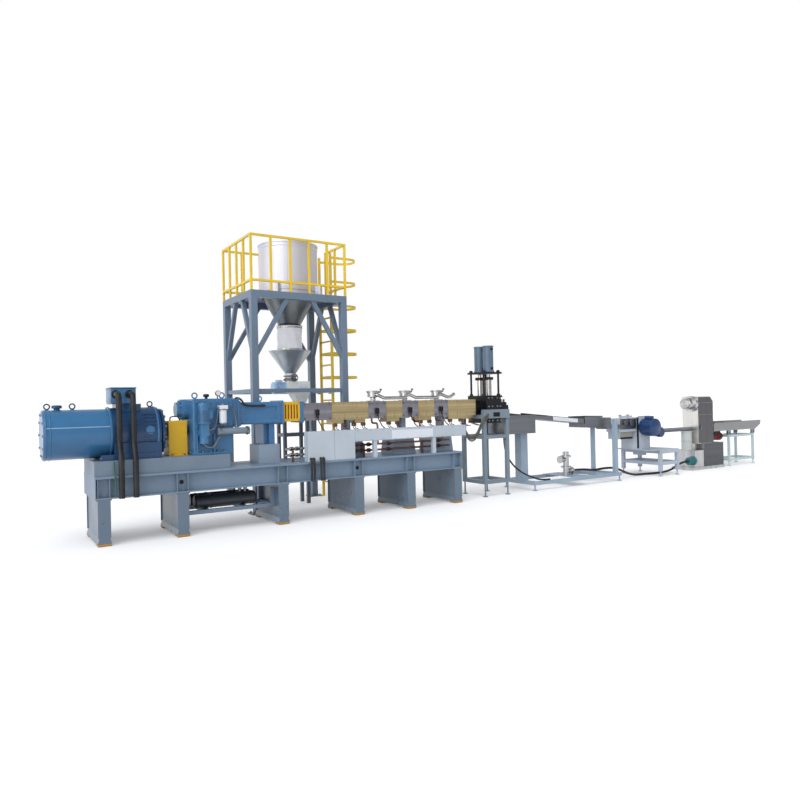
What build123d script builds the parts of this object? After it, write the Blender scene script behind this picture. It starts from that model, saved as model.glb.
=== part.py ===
from build123d import *
import os
from math import cos, radians, tan

os.makedirs("parts", exist_ok=True)

# Pelletizing line. X runs along the line from the drive motor to the sieve, Z is up and the
# floor is Z = 0. Lengths are millimetres. Spans are (low, high) pairs. The drawing is made
# around the screw axis and moved at the end so that the front pad of leg 1 holds the origin.

# Fits
fit_gap = 0.3
run_gap = 0.5
quarter_turn = 90
half_turn = 180

# Extruder base
leg_xs = (0, 900, 2220, 3380, 4270, 5150)
base_half = 445
base_xs = (-95, 5235)
pad_height = 30
pad_length = 130
pad_width = 150
pad_bevel = 8
leg_foot_half = 78
leg_flare_top = 95
leg_half = 58
leg_cap_half = 84
leg_flange = 18
leg_flange_half = 70
leg_cap = 16
beam_bottom = 545
beam_top = 797
beam_flange = 16
beam_flange_width = 150
beam_web = 12
stiffener = 10
stiffener_pitch = 130
stiffener_set_in = 8
cross_half = 50
cross_set_in = 60
panel_hole_radius = 24
panel_hole_legs = (900, 3380)
deck_thickness = 12
end_plate = 12
deck_top = beam_top + deck_thickness
floor_pad_y = base_half - pad_length / 2

# Drive plinth
plinth_xs = (base_xs[0], 1510)
plinth_set_in = 30
plinth_half = base_half - plinth_set_in
plinth_top = 985
plinth_wall = 20

# Drive motor
motor_z = 1298
motor_xs = (150, 690)
motor_radius = 308
motor_shield_length = 25
motor_shield_radius = 262
motor_flange_length = 30
motor_flange_radius = 286
motor_hub_radius = 120
motor_hub_end = 800
motor_shaft_radius = 40
motor_shaft_end = 838
motor_rib_count = 9
motor_rib_height = 10
motor_rib_width = 8
motor_rib_turn = 9
cowl_left = -600
cowl_radius = 296
cowl_wall = 8
cowl_round = 22
foot_ys = (200, 330)
foot_xs = (0, 690)
foot_top = 1050
foot_web_ys = (215, 300)
foot_web_top = 1180
neck_xs = (205, 485)
neck_half = 150
term_xs = (140, 424)
term_half = 172
term_zs = (1650, 1840)
term_taper = 28
cable_radius = 33
cable_xs = (190, 350)
cable_top = 1770
cable_bow_y = -385
cable_stand_off = 4
cable_low_y = -base_half - cable_radius - cable_stand_off
cable_bend = 70

# Coupling guard and coupling
guard_xs = (812, 1040)
guard_half = 150
guard_top = 1425
guard_wall = 4
guard_round = 12
guard_hole = 52
coupling_radius = 105
coupling_xs = (850, 1000)
input_shaft_radius = 45

# Gearbox
gear_xs = (1080, 1600)
gear_half = 290
gear_top = 1700
gear_round = 24
gear_foot_xs = (1066, 1510)
gear_foot_half = 335
gear_foot = 30
gear_rib_xs = (1110, 1330, 1560)
gear_rib = 14
gear_rib_zs = (gear_foot, 260)
cover_z = 1565
cover_radius = 132
cover_step_radius = 96
cover_length = 90
cover_step = 55
gear_neck_xs = (1600, 1700)
gear_neck_half = 232
gear_neck_zs = (1330, 1690)
gear_seam = 20
gear_seam_rise = 14
pump_x = 1195
pump_y = -366
pump_radius = 66
pump_motor_zs = (1390, 1600)
pump_block_half = 52
pump_block_zs = (1225, 1390)
pump_base_radius = 56
pump_base_zs = (1130, 1225)
pump_bracket_zs = (1240, 1300)
filter_x = 1448
filter_y = -346
filter_radius = 47
filter_zs = (1372, 1560)
filter_head_zs = (1560, 1610)
filter_head_half = 52
cooler_xs = (1370, 1790)
cooler_y = -352
cooler_z = 1276
cooler_radius = 43
cooler_cap = 26
cooler_cap_radius = 50
cooler_bracket_xs = (1420, 1470)

# Distribution case and lantern
case_xs = (gear_neck_xs[1], 2340)
case_half = 198
case_zs = (1345, 1645)
case_flange = 34
case_flange_rise = 16
case_panel_depth = 14
case_panel_margin = 60
case_leg_xs = (2060, 2226)
case_leg_half = 150
case_slot_xs = (2076, 2146)
case_slot_depth = 50
lantern_xs = (case_xs[1], 2600)
lantern_core_half = 118
lantern_core_zs = (1392, 1592)
lantern_end = 60
lantern_end_half = 166
lantern_end_zs = (1344, 1640)
grille_half = 172
grille_zs = (1366, 1640)
grille_wall = 4
grille_slot_count = 5
grille_slot_width = 18
grille_slot_zs = (1405, 1600)

# Barrel
barrel_half = 145
barrel_zs = (1366, 1616)
barrel_xs = (lantern_xs[1] + lantern_end, 5790)
steel_spans = ((barrel_xs[0], 3110), (3720, 4030), (4325, 4620), (4930, 5200))
heater_spans = ((3110, 3720), (4030, 4325), (4620, 4930), (5200, 5770))
core_set_in = 26
seam_width = 6
seam_depth = 5
cover_rise = 4
tab_half = 105
tab_drop = 62
tab_set_in = 34
support_post_half = 36
support_post_depth = 70
support_saddle = 14
support_saddle_half = 60
support_xs = (3415, 4392, 5135)
support_shift_shares = (0, 0.5, 0.62)
pedestal_top = 1045
pedestal_foot_half = 205
pedestal_head_half = 172
case_pedestal_xs = (1985, 2282)
pedestal_plate = 20
vent_xs = (3888, 4466, 5076)
vent_flange_half = 74
vent_flange = 18
vent_neck_radius = 40
vent_neck = 46
vent_cup_radius = 84
vent_cup_wall = 6
vent_cup_height = 84
vent_cup_floor = 12
vent_rim = 12
manifold_radius = 24
manifold_y = -120
manifold_bend = 46
manifold_drop = 52
manifold_end = 5350

# Cable trunk
trunk_depth = 133
trunk_ys = (-base_half, trunk_depth - base_half)
box_xs = (2590, 3320)
box_top = 1222
duct_xs = (box_xs[1], 5320)
duct_zs = (1052, box_top)
trunk_round = 5
trunk_post_xs = (3660, 4710)
trunk_post_half = 28
trunk_post_set_in = 5
trunk_post_depth = 56
trunk_post_front = trunk_ys[0] + trunk_post_set_in
trunk_post_ys = (trunk_post_front, trunk_post_front + trunk_post_depth)

# Cooling pipes on the base
pipe_radius = 15
pipe_set_off = 46
pipe_y = trunk_ys[1] + pipe_set_off
pipe_zs = (905, 990)
pedestal_clear = 80
pedestal_half = -pipe_y - pedestal_clear
pipe_xs = (2320, 5120)
pipe_stand_xs = (2440, 3560, 4600)
pipe_stand_half = 13
riser_xs = (3800, 4560, 4985)
riser_y = -96
riser_z = 1296
riser_bend = 40

# Oil station below the base
rack_xs = (leg_xs[1] + leg_half, leg_xs[2] - leg_half)
rack_ys = (-262, 262)
rack_bar = 50
rack_z = 230
rack_post_top = 486
oil_tank_ys = (-120, 96)
oil_tank_radius = 88
oil_tank_xs = (1120, 1930)
oil_tank_round = 26
rack_saddle_xs = (1260, 1760)
rack_saddle_half = 30

# Screen changer, die and stand
block_xs = (5925, 6235)
block_half = 250
block_zs = (1220, 1650)
yoke_xs = (5895, 6300)
yoke_half = 212
yoke_zs = (block_zs[1], 1682)
adapter_radius = 112
screw_z = (barrel_zs[0] + barrel_zs[1]) / 2
piston_x = 6086
piston_y = 115
bolt_radius = 48
bolt_zs = (1300, 1955)
link_radius = 72
link_zs = (1955, 1992)
rod_radius = 32
rod_top = 2310
piston_head = 40
piston_gap = 2
cylinder_radius = 88
cylinder_bore = 72
cylinder_zs = (2076, 2520)
cylinder_cap = 22
cylinder_cap_radius = 94
head_plate_zs = (2046, cylinder_zs[0])
tie_radius = 17
tie_xs = (5937, 6257)
tie_y = 165
tie_top = 2112
tie_nut = 28
die_xs = (block_xs[1], 6440)
die_half = 180
die_zs = (1402, 1566)
die_face = 46
die_face_half = 150
die_face_zs = (1420, 1516)
nozzle_count = 12
nozzle_radius = 9
nozzle_length = 22
stand_xs = (5850, 6402)
stand_ys = (-block_half, 352)
stand_tube = 60
stand_low_z = 210
stand_mid_z = 960
stand_rail_z = 1300
stand_bracket = 22
stand_bracket_top = 1446
stand_window_xs = (6043, 6199)
stand_window_zs = (1324, 1399)

# Levelling feet
foot_disc_radius = 42
foot_disc = 12
foot_stem_radius = 13

# Strand cooling: tank, trough and frame
strand_y = 150
tank_xs = (6480, 7130)
tank_half = 280
tank_zs = (1004, 1332)
tank_wall = 6
trough_start = 6872
trough_end = 8540
trough_half = 190
trough_top = 1366
trough_depth = 88
trough_wall = 5
trough_slope = 5.5
notch_gap = 8
drain_xs = (8480, 8955)
drain_half = 204
drain_zs = (1046, 1252)
drain_wall = 5
outlet_xs = (drain_xs[1], 9225)
outlet_half = 190
outlet_zs = (1019, 1216)
frame_xs = (6970, 9250)
frame_half = 400
frame_tube = 60
frame_z = 100
frame_top = frame_z + frame_tube
pillar_x = 7040
pillar_half = 80
drain_post_x = 8915
drain_post_half = 32
gate_x = 9120
gate_tube = 76
gate_top = 1190
shelf_xs = (7950, 8370)
shelf = 8

# Water pump
wpump_x = 8160
wpump_radius = 58
wpump_zs = (frame_top + shelf, 600)
wpump_ring = 92
wpump_ring_step = 70
wpump_cap = 30
wpump_tail = 170
wpump_tail_radius = 46

# Pelletizer
pel_xs = (10330, 10930)
pel_half = 485
pel_tube = 64
pel_frame_top = 520
pel_low_z = 225
pel_table = 14
pel_top = pel_frame_top + pel_table
pel_shift = 110
pel_y = strand_y + pel_shift
body_xs = (10152, 10500)
body_half = 205
body_top = 1186
body_round = 16
cheek = 18
cheek_rise = 30
feed_xs = (9640, body_xs[0])
feed_half = 170
feed_zs = (905, 1176)
feed_mouth_zs = (1000, 1060)
tray_xs = (9668, 10040)
tray_half = 150
tray_zs = (760, feed_zs[0])
throat_xs = (outlet_xs[1], feed_xs[0])
throat_half = 124
throat_zs = (984, 1054)
drive_x = 10300
drive_z = 990
drive_radius = 165
drive_length = 262
drive_gap = 37
drive_nose = 14
drive_fin_count = 14
drive_fin = 10
drive_fin_width = 8
drive_cap = 64
gear2_x = 10542
gear2_z = 880
gear2_radius = 92
gear2_length = 257
chute_xs = (10396, 10500)
chute_zs = (400, pel_frame_top)

# Pellet pipe and dryer
pellet_pipe_radius = 44
pellet_pipe_z = 880
dry_base_xs = (11720, 12900)
dry_base_half = 260
dry_base = 60
dry_tank_xs = (12150, 12880)
dry_tank_half = 240
dry_tank_top = 560
dry_side_xs = (11840, 12150)
dry_side_top = 420
col_xs = (12020, 12560)
col_ys = (-60, 320)
col_top = 1585
col_bevel = 110
sep_x = 11900
sep_radius = 108
sep_zs = (dry_side_top, 828)
fan_x = 11800
fan_z = 1430
fan_y = 96
fan_radius = 128
fan_scroll_radius = 168
fan_scroll = 74
fan_cap = 40
dpump_xs = (11650, dry_side_xs[0])
dpump_y = -40
dpump_z = 200
dpump_radius = 74
dpump_volute_radius = 98
dpump_volute = 56

# Sieve
sieve_xs = (col_xs[1], 14420)
sieve_half = 230
sieve_zs = (805, 1000)
sieve_wall = 5
sieve_floor_share = 0.55
sieve_leg_xs = (13130, 14140)
sieve_tube = 46
sieve_frame_top = 700
sieve_low_z = 120
sieve_spring_radius = 34
shaker_xs = (12770, 13110)
shaker_z = 672
shaker_radius = 74
shaker_cap_radius = 92
shaker_cap = 60

# Hopper tower
tower_xs = (2205, 3794)
tower_ys = (605, 1909)
column = 100
tower_beam = 100
tower_top = 3303
tower_plate = 6
tie_bar = 60
tie_bar_z = 1785
brace = 62
brace_drop = 950
brace_reach = 560
brace_side_reach = 470
foot_plate = 16
foot_plate_half = 110
rail_top = 4144
rail_bar = 32
rail_low = 3440
rail_bays = 5
rail_side_bays = 4
ladder_ys = (1302, 1728)
ladder_x = 3868
ladder_bar = 36
rung = 26
rung_step = 200
rung_low = 260
rung_count = 16
hoop_low = 2030
hoop_step = 404
hoop_count = 6
hoop_run = 340
hoop_width = 40
hoop_thick = 8
ladder_clip_low = 1785
ladder_clip_high = 3253
ladder_clip_zs = (ladder_clip_low, ladder_clip_high)

# Trunk cables and free hoses
lead_radius = 15
lead_xs = (2620, 2662, 2765, 2808)
lead_rise = 45
lead_reach = 36
lead_bend = 24
pump_hose_radius = 22
pump_hose_route = (
    (8330, 150, 238), (8620, 150, 238), (8850, 75, 205), (9080, 40, 232), (9450, 60, 215), (9850, 20, 40),
    (10300, 60, 24), (10750, -20, 24), (11130, 0, 50), (11420, -40, 200), (11650, -40, 200),
)
die_hose_radius = 15
die_hose_route = (
    (6372, -150, 960), (6372, -150, 740), (6480, -200, 510), (6680, -230, 345), (6920, -222, 250),
    (7160, -226, 175), (7370, -215, 175),
)
bend_share = 0.45

# Hopper and feeders
hop_x = 3085
hop_y = 1258
hop_radius = 467
hop_wall = 5
hop_bottom = 3400
hop_top = 4152
hop_zs = (hop_bottom, hop_top)
hop_rim = 14
cone_bottom = 2873
cone_radius = 172
hop_lug = 90
hop_lug_half = 45
deck_hole = 432
sleeve_radius = 202
sleeve_wall = 4
sleeve_zs = (2467, cone_bottom - 8)
cone_flange = 8
funnel_radius = 338
funnel_lid = 8
funnel_bottom = 2096
funnel_low_radius = 86
funnel_wall = 4
feeder_neck_radius = 92
feeder_left = 2990
feeder_right = 3366
feeder_xs = (feeder_left, feeder_right)
feeder_half = 135
feeder_zs = (1790, 1972)
spout_left = 3090
spout_xs = (spout_left, feeder_right)
spout_low_left = 3176
spout_low_right = 3312
spout_low_xs = (spout_low_left, spout_low_right)
spout_low_half = 70
spout_bottom = 1600
fmotor_xs = (2778, feeder_xs[0])
fmotor_z = 1868
fmotor_radius = 82
fmotor_cap = 46
side_box_left = 2890
side_box_right = 3330
side_box_xs = (side_box_left, side_box_right)
side_box_half = 150
side_box_zs = (1330, spout_bottom)
side_tube_xs = (2900, 3080)
side_tube_zs = (1402, 1580)
side_flange = 24
side_flange_rise = 20
side_stand_tube = 50
side_stand_rail_z = 1090


def block(xs, ys, zs):
    """Box between two opposite corners."""
    low = (Align.MIN, Align.MIN, Align.MIN)
    return Pos(xs[0], ys[0], zs[0]) * Box(xs[1] - xs[0], ys[1] - ys[0], zs[1] - zs[0], align=low)


def both(half):
    """Span of the given half width about the axis."""
    return (-half, half)


def around(centre, half):
    """Span of the given half width about a centre."""
    return (centre - half, centre + half)


def rod_x(xs, y, z, radius):
    """Round bar along X."""
    bar = Cylinder(radius, xs[1] - xs[0], align=(Align.CENTER, Align.CENTER, Align.MIN))
    return Pos(xs[0], y, z) * Rot(0, quarter_turn, 0) * bar


def rod_y(x, ys, z, radius):
    """Round bar along Y."""
    bar = Cylinder(radius, ys[1] - ys[0], align=(Align.CENTER, Align.CENTER, Align.MIN))
    return Pos(x, ys[0], z) * Rot(-quarter_turn, 0, 0) * bar


def rod_z(x, y, zs, radius):
    """Round bar along Z."""
    bar = Cylinder(radius, zs[1] - zs[0], align=(Align.CENTER, Align.CENTER, Align.MIN))
    return Pos(x, y, zs[0]) * bar


def bar(start, end, size):
    """Square bar between two points."""
    run = Vector(*end) - Vector(*start)
    return extrude(Plane(origin=start, z_dir=run) * Rectangle(size, size), run.length)


def tube_path(points, radius, bend):
    """Round pipe along straight runs joined by bends."""
    path = FilletPolyline(*points, radius=bend)
    return sweep((path ^ 0) * Circle(radius), path=path)


def bend_radii(points):
    """Bend radius at each inner point of a route, from its shorter run and its turn."""
    radii = []
    for before, here, after in zip(points, points[1:], points[2:]):
        first = Vector(*here) - Vector(*before)
        second = Vector(*after) - Vector(*here)
        half = radians(first.get_angle(second)) / 2
        radii.append(bend_share * min(first.length, second.length) / tan(half))
    return radii


def free_hose(points, radius):
    """Round hose of straight runs and tangent bends."""
    radii = bend_radii(points)
    print("bend radii", [round(r) for r in radii])
    path = FilletPolyline(*points, radius=radii)
    return sweep((path ^ 0) * Circle(radius), path=path)


def turned(profile, x, y):
    """Profile of (radius, height) points turned about an upright axis."""
    face = make_face(Polyline(*[(r, 0, z) for r, z in profile], close=True))
    return Pos(x, y, 0) * revolve(face, Axis.Z)


def joined(shapes):
    """All given shapes as one."""
    whole = shapes[0]
    for shape in shapes[1:]:
        whole = whole + shape
    return whole


def level_foot(x, y, top):
    """Levelling foot with its stem, from the floor to a frame member."""
    return rod_z(x, y, (0, foot_disc), foot_disc_radius) + rod_z(x, y, (0, top), foot_stem_radius)


def base_legs():
    """Six slab legs with front and back flanges, flared at the foot."""
    legs = []
    for x in leg_xs:
        outline = Polyline(
            (x - leg_foot_half, 0, pad_height),
            (x + leg_foot_half, 0, pad_height),
            (x + leg_half, 0, leg_flare_top),
            (x + leg_half, 0, beam_bottom - leg_cap),
            (x - leg_half, 0, beam_bottom - leg_cap),
            (x - leg_half, 0, leg_flare_top),
            close=True,
        )
        slab = extrude(make_face(outline), base_half, both=True)
        cap = block(around(x, leg_cap_half), both(base_half), (beam_bottom - leg_cap, beam_bottom))
        lips = [
            block(around(x, leg_flange_half), ys, (leg_flare_top, beam_bottom - leg_cap))
            for ys in ((-base_half, leg_flange - base_half), (base_half - leg_flange, base_half))
        ]
        legs.append(joined([slab, cap] + lips))
    return joined(legs)


def base_foot_pads():
    """Low pads under both ends of each leg."""
    pads = []
    for x in leg_xs:
        for y in (-floor_pad_y, floor_pad_y):
            pad = block(around(x, pad_width / 2), around(y, pad_length / 2), (0, pad_height))
            pads.append(chamfer(pad.edges().group_by(Axis.Z)[0], pad_bevel))
    return joined(pads)


def beam(side):
    """One side beam of the base with its stiffener pairs at the legs."""
    outer = side * base_half
    inner = side * (base_half - beam_flange_width)
    web_y = side * (base_half - beam_flange_width / 2)
    ys = (min(outer, inner), max(outer, inner))
    flanges = [
        block(base_xs, ys, (beam_bottom, beam_bottom + beam_flange)),
        block(base_xs, ys, (beam_top - beam_flange, beam_top)),
    ]
    web = block(base_xs, around(web_y, beam_web / 2), (beam_bottom, beam_top))
    lip = side * (base_half - stiffener_set_in)
    ribs = [
        block(around(x + turn * stiffener_pitch / 2, stiffener / 2),
              (min(lip, web_y), max(lip, web_y)), (beam_bottom, beam_top))
        for x in leg_xs for turn in (-1, 1)
    ]
    whole = joined(flanges + [web] + ribs)
    for x in panel_hole_legs:
        mid = (beam_bottom + beam_top) / 2
        whole = whole - rod_y(x, around(web_y, beam_web), mid, panel_hole_radius)
    return whole


def base_frame():
    """Side beams, cross members, end plates and deck as one welded frame."""
    inner = base_half - beam_flange_width / 2
    crosses = [
        block(around(x, cross_half), both(inner), (beam_bottom + cross_set_in, beam_top - cross_set_in))
        for x in leg_xs
    ]
    ends = [
        block(xs, both(base_half), (beam_bottom, beam_top))
        for xs in ((base_xs[0], base_xs[0] + end_plate), (base_xs[1] - end_plate, base_xs[1]))
    ]
    deck = block(base_xs, both(base_half), (beam_top, deck_top))
    return joined([beam(-1), beam(1), deck] + crosses + ends)


def drive_plinth():
    """Raised box bed under motor and gearbox, open below."""
    outer = block(plinth_xs, both(plinth_half), (deck_top, plinth_top))
    xs = (plinth_xs[0] + plinth_wall, plinth_xs[1] - plinth_wall)
    return outer - block(xs, both(plinth_half - plinth_wall), (deck_top, plinth_top - plinth_wall))


def oil_station_rack():
    """Welded rack between two legs that carries the oil tanks."""
    bars = []
    for y in (rack_ys[0], rack_ys[1] - rack_bar):
        bars.append(block(rack_xs, (y, y + rack_bar), (rack_z, rack_z + rack_bar)))
        for x in (rack_xs[0], rack_xs[1] - rack_bar):
            bars.append(block((x, x + rack_bar), (y, y + rack_bar), (rack_z, rack_post_top)))
    for x in (rack_xs[0], rack_xs[1] - rack_bar):
        bars.append(block((x, x + rack_bar), rack_ys, (rack_z, rack_z + rack_bar)))
    for x in rack_saddle_xs:
        bars.append(block(around(x, rack_saddle_half), rack_ys, (rack_z, rack_z + rack_bar)))
    return joined(bars)


def oil_tanks():
    """Two oil tanks lying side by side on the rack."""
    z = rack_z + rack_bar + oil_tank_radius + fit_gap
    tanks = []
    for y in oil_tank_ys:
        tank = rod_x(oil_tank_xs, y, z, oil_tank_radius)
        tanks.append(fillet(tank.edges().filter_by(GeomType.CIRCLE), oil_tank_round))
    return joined(tanks)


def motor_body():
    """Drive motor: ribbed frame, end shield, feet, cable neck and terminal box."""
    z = motor_z
    shield = motor_xs[1] + motor_shield_length
    rim = shield + motor_flange_length
    profile = (
        (motor_xs[0], 0), (motor_xs[0], motor_radius), (motor_xs[1], motor_radius),
        (shield, motor_shield_radius), (shield, motor_flange_radius), (rim, motor_flange_radius),
        (rim, motor_hub_radius), (motor_hub_end, motor_hub_radius),
        (motor_hub_end, motor_shaft_radius), (motor_shaft_end, motor_shaft_radius),
        (motor_shaft_end, 0),
    )
    face = make_face(Polyline(*[(x, 0, z + r) for x, r in profile], close=True))
    pieces = [revolve(face, Axis((0, 0, z), (1, 0, 0)))]
    for side in (-1, 1):
        ys = (min(side * foot_ys[0], side * foot_ys[1]), max(side * foot_ys[0], side * foot_ys[1]))
        web = (min(side * foot_web_ys[0], side * foot_web_ys[1]),
               max(side * foot_web_ys[0], side * foot_web_ys[1]))
        pieces.append(block(foot_xs, ys, (plinth_top, foot_top)))
        pieces.append(block((motor_xs[0], foot_xs[1]), web, (foot_top, foot_web_top)))
    rib_xs = (neck_xs[1], motor_xs[1] - motor_shield_length)
    for turn in range(motor_rib_count):
        rib = block(rib_xs, both(motor_rib_width / 2), (z, z + motor_radius + motor_rib_height))
        for side in (-1, 1):
            angle = side * (quarter_turn / 2 + turn * motor_rib_turn)
            pieces.append(Pos(0, 0, z) * Rot(angle, 0, 0) * Pos(0, 0, -z) * rib)
    pieces.append(block(neck_xs, both(neck_half), (z, term_zs[0])))
    low = Plane(origin=(sum(term_xs) / 2, 0, term_zs[0]))
    high = Plane(origin=(sum(term_xs) / 2, 0, term_zs[1]))
    length = term_xs[1] - term_xs[0]
    box = loft([low * Rectangle(length - term_taper, 2 * term_half),
                high * Rectangle(length, 2 * term_half)])
    pieces.append(box)
    return joined(pieces)


def motor_cowl():
    """Air cowl behind the motor, a shell closed at its rear end."""
    drum = rod_x((cowl_left, motor_xs[0]), 0, motor_z, cowl_radius)
    drum = fillet(drum.edges().group_by(Axis.X)[0], cowl_round)
    hollow = rod_x((cowl_left + cowl_wall, motor_xs[0]), 0, motor_z, cowl_radius - cowl_wall)
    return drum - hollow


def motor_cables():
    """Two supply cables from the terminal box down over the base."""
    y0 = -term_half
    runs = []
    for x in cable_xs:
        points = (
            (x, y0, cable_top), (x, cable_bow_y, cable_top), (x, cable_bow_y, plinth_top + foot_web_ys[0]),
            (x, cable_low_y, plinth_top), (x, cable_low_y, beam_bottom),
        )
        runs.append(tube_path(points, cable_radius, cable_bend))
    return joined(runs)


def coupling_guard():
    """Sheet guard over the coupling, open below, with holes for both shafts."""
    outer = block(guard_xs, both(guard_half), (plinth_top, guard_top))
    outer = fillet(outer.edges().filter_by(Axis.X).group_by(Axis.Z)[-1], guard_round)
    xs = (guard_xs[0] + guard_wall, guard_xs[1] - guard_wall)
    inner = block(xs, both(guard_half - guard_wall), (plinth_top, guard_top - guard_wall))
    holes = rod_x(guard_xs, 0, motor_z, guard_hole)
    return outer - inner - holes


def gearbox_housing():
    """Gear case with foot flange, ribs, round bearing cover, input shaft and neck."""
    main = block(gear_xs, both(gear_half), (plinth_top, gear_top))
    main = fillet(main.edges().filter_by(Axis.Z), gear_round)
    main = fillet(main.edges().group_by(Axis.Z)[-1], gear_round)
    foot = block(gear_foot_xs, both(gear_foot_half), (plinth_top, plinth_top + gear_foot))
    pieces = [main, foot]
    for x in gear_rib_xs[:-1]:
        pieces.append(block((x, x + gear_rib), both(gear_foot_half),
                            (plinth_top + gear_rib_zs[0], plinth_top + gear_rib_zs[1])))
    cover_xs = (gear_xs[0] - cover_length, gear_xs[0])
    pieces.append(rod_x(cover_xs, 0, cover_z, cover_radius))
    pieces.append(rod_x((cover_xs[0] - cover_step, cover_xs[0]), 0, cover_z, cover_step_radius))
    neck = block(gear_neck_xs, both(gear_neck_half), gear_neck_zs)
    seam = block((gear_neck_xs[1] - gear_seam, gear_neck_xs[1]), both(gear_neck_half + gear_seam_rise),
                 (gear_neck_zs[0] - gear_seam_rise, gear_neck_zs[1] + gear_seam_rise))
    pieces.append(fillet(neck.edges().filter_by(Axis.X), gear_round))
    pieces.append(fillet(seam.edges().filter_by(Axis.X), gear_round))
    pieces.append(rod_x((coupling_xs[1], gear_xs[0]), 0, motor_z, input_shaft_radius))
    pieces.append(rod_x(coupling_xs, 0, motor_z, coupling_radius))
    return joined(pieces)


def oil_pump_motor():
    """Upright oil pump and motor on the front of the gear case."""
    face = (pump_y, -gear_half)
    pieces = [
        rod_z(pump_x, pump_y, pump_motor_zs, pump_radius),
        block(around(pump_x, pump_block_half), around(pump_y, pump_block_half), pump_block_zs),
        rod_z(pump_x, pump_y, pump_base_zs, pump_base_radius),
        block(around(pump_x, pump_block_half), face, pump_bracket_zs),
    ]
    return joined(pieces)


def oil_filter():
    """Oil filter bowl hung from its head on the gear case."""
    bowl = rod_z(filter_x, filter_y, filter_zs, filter_radius)
    head = block(around(filter_x, filter_head_half), (filter_y - filter_radius, -gear_half), filter_head_zs)
    return bowl + head


def oil_cooler():
    """Tube oil cooler along the front of the gear case."""
    pieces = [rod_x(cooler_xs, cooler_y, cooler_z, cooler_radius)]
    for xs in ((cooler_xs[0], cooler_xs[0] + cooler_cap), (cooler_xs[1] - cooler_cap, cooler_xs[1])):
        pieces.append(rod_x(xs, cooler_y, cooler_z, cooler_cap_radius))
    pieces.append(block(cooler_bracket_xs, (cooler_y, -gear_half), around(cooler_z, cooler_cap_radius / 2)))
    return joined(pieces)


def distribution_case():
    """Distribution case with end flanges, side panels, leg, lantern core and barrel flange."""
    body = block(case_xs, both(case_half), case_zs)
    body = fillet(body.edges().filter_by(Axis.X), gear_round)
    panel_xs = (case_xs[0] + case_flange + case_panel_margin, case_xs[1] - case_flange - case_panel_margin)
    panel_zs = (case_zs[0] + case_panel_margin, case_zs[1] - case_panel_margin)
    for ys in ((-case_half, case_panel_depth - case_half), (case_half - case_panel_depth, case_half)):
        body = body - block(panel_xs, ys, panel_zs)
    pieces = [body]
    rise = case_flange_rise
    for xs in ((case_xs[0], case_xs[0] + case_flange), (case_xs[1] - case_flange, case_xs[1])):
        flange = block(xs, both(case_half + rise), (case_zs[0] - rise, case_zs[1] + rise))
        pieces.append(fillet(flange.edges().filter_by(Axis.X), gear_round))
    leg = block(case_leg_xs, both(case_leg_half), (pedestal_top + pedestal_plate, case_zs[0] + rise))
    for ys in ((-case_leg_half, case_slot_depth - case_leg_half),
               (case_leg_half - case_slot_depth, case_leg_half)):
        leg = leg - block(case_slot_xs, ys, (pedestal_top + pedestal_plate, case_zs[0]))
    pieces.append(leg)
    pieces.append(block(lantern_xs, both(lantern_core_half), lantern_core_zs))
    pieces.append(block((lantern_xs[1], lantern_xs[1] + lantern_end), both(lantern_end_half), lantern_end_zs))
    return joined(pieces)


def lantern_guard():
    """Slotted sheet guard round the shaft couplings between case and barrel."""
    ring = block(lantern_xs, both(grille_half), grille_zs)
    ring = ring - block(lantern_xs, both(grille_half - grille_wall),
                        (grille_zs[0] + grille_wall, grille_zs[1] - grille_wall))
    pitch = (lantern_xs[1] - lantern_xs[0]) / (grille_slot_count + 1)
    for n in range(grille_slot_count):
        x = lantern_xs[0] + pitch * (n + 1)
        ring = ring - block(around(x, grille_slot_width / 2), both(grille_half), grille_slot_zs)
    return ring


def barrel_core():
    """Screw barrel: bolted steel sections on a slimmer core that the heaters wrap."""
    inner = barrel_half - core_set_in
    zs = (barrel_zs[0] + core_set_in, barrel_zs[1] - core_set_in)
    whole = block(barrel_xs, both(inner), zs)
    for span in steel_spans:
        section = block(span, both(barrel_half), barrel_zs)
        seam = around(sum(span) / 2, seam_width / 2)
        ring = block(seam, both(barrel_half), barrel_zs)
        ring = ring - block(seam, both(barrel_half - seam_depth),
                            (barrel_zs[0] + seam_depth, barrel_zs[1] - seam_depth))
        whole = whole + (section - ring)
    return whole


def heater_covers():
    """Bent heater covers wrapped round the barrel core, with terminal tabs below."""
    covers = []
    inner = barrel_half - core_set_in + fit_gap
    zs = (barrel_zs[0] + core_set_in - fit_gap, barrel_zs[1] - core_set_in + fit_gap)
    for span in heater_spans:
        outer = block(span, both(barrel_half + cover_rise), (barrel_zs[0] - cover_rise, barrel_zs[1] + cover_rise))
        tab_zs = (barrel_zs[0] - tab_drop, barrel_zs[0])
        tab = block((span[0] + tab_set_in, span[1] - tab_set_in), both(tab_half), tab_zs)
        for x in support_xs:
            tab = tab - block(around(x, support_saddle_half + tab_set_in), both(tab_half),
                              (tab_zs[0], barrel_zs[0] - cover_rise))
        covers.append(outer + tab - block(span, both(inner), zs))
    return joined(covers)


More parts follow.
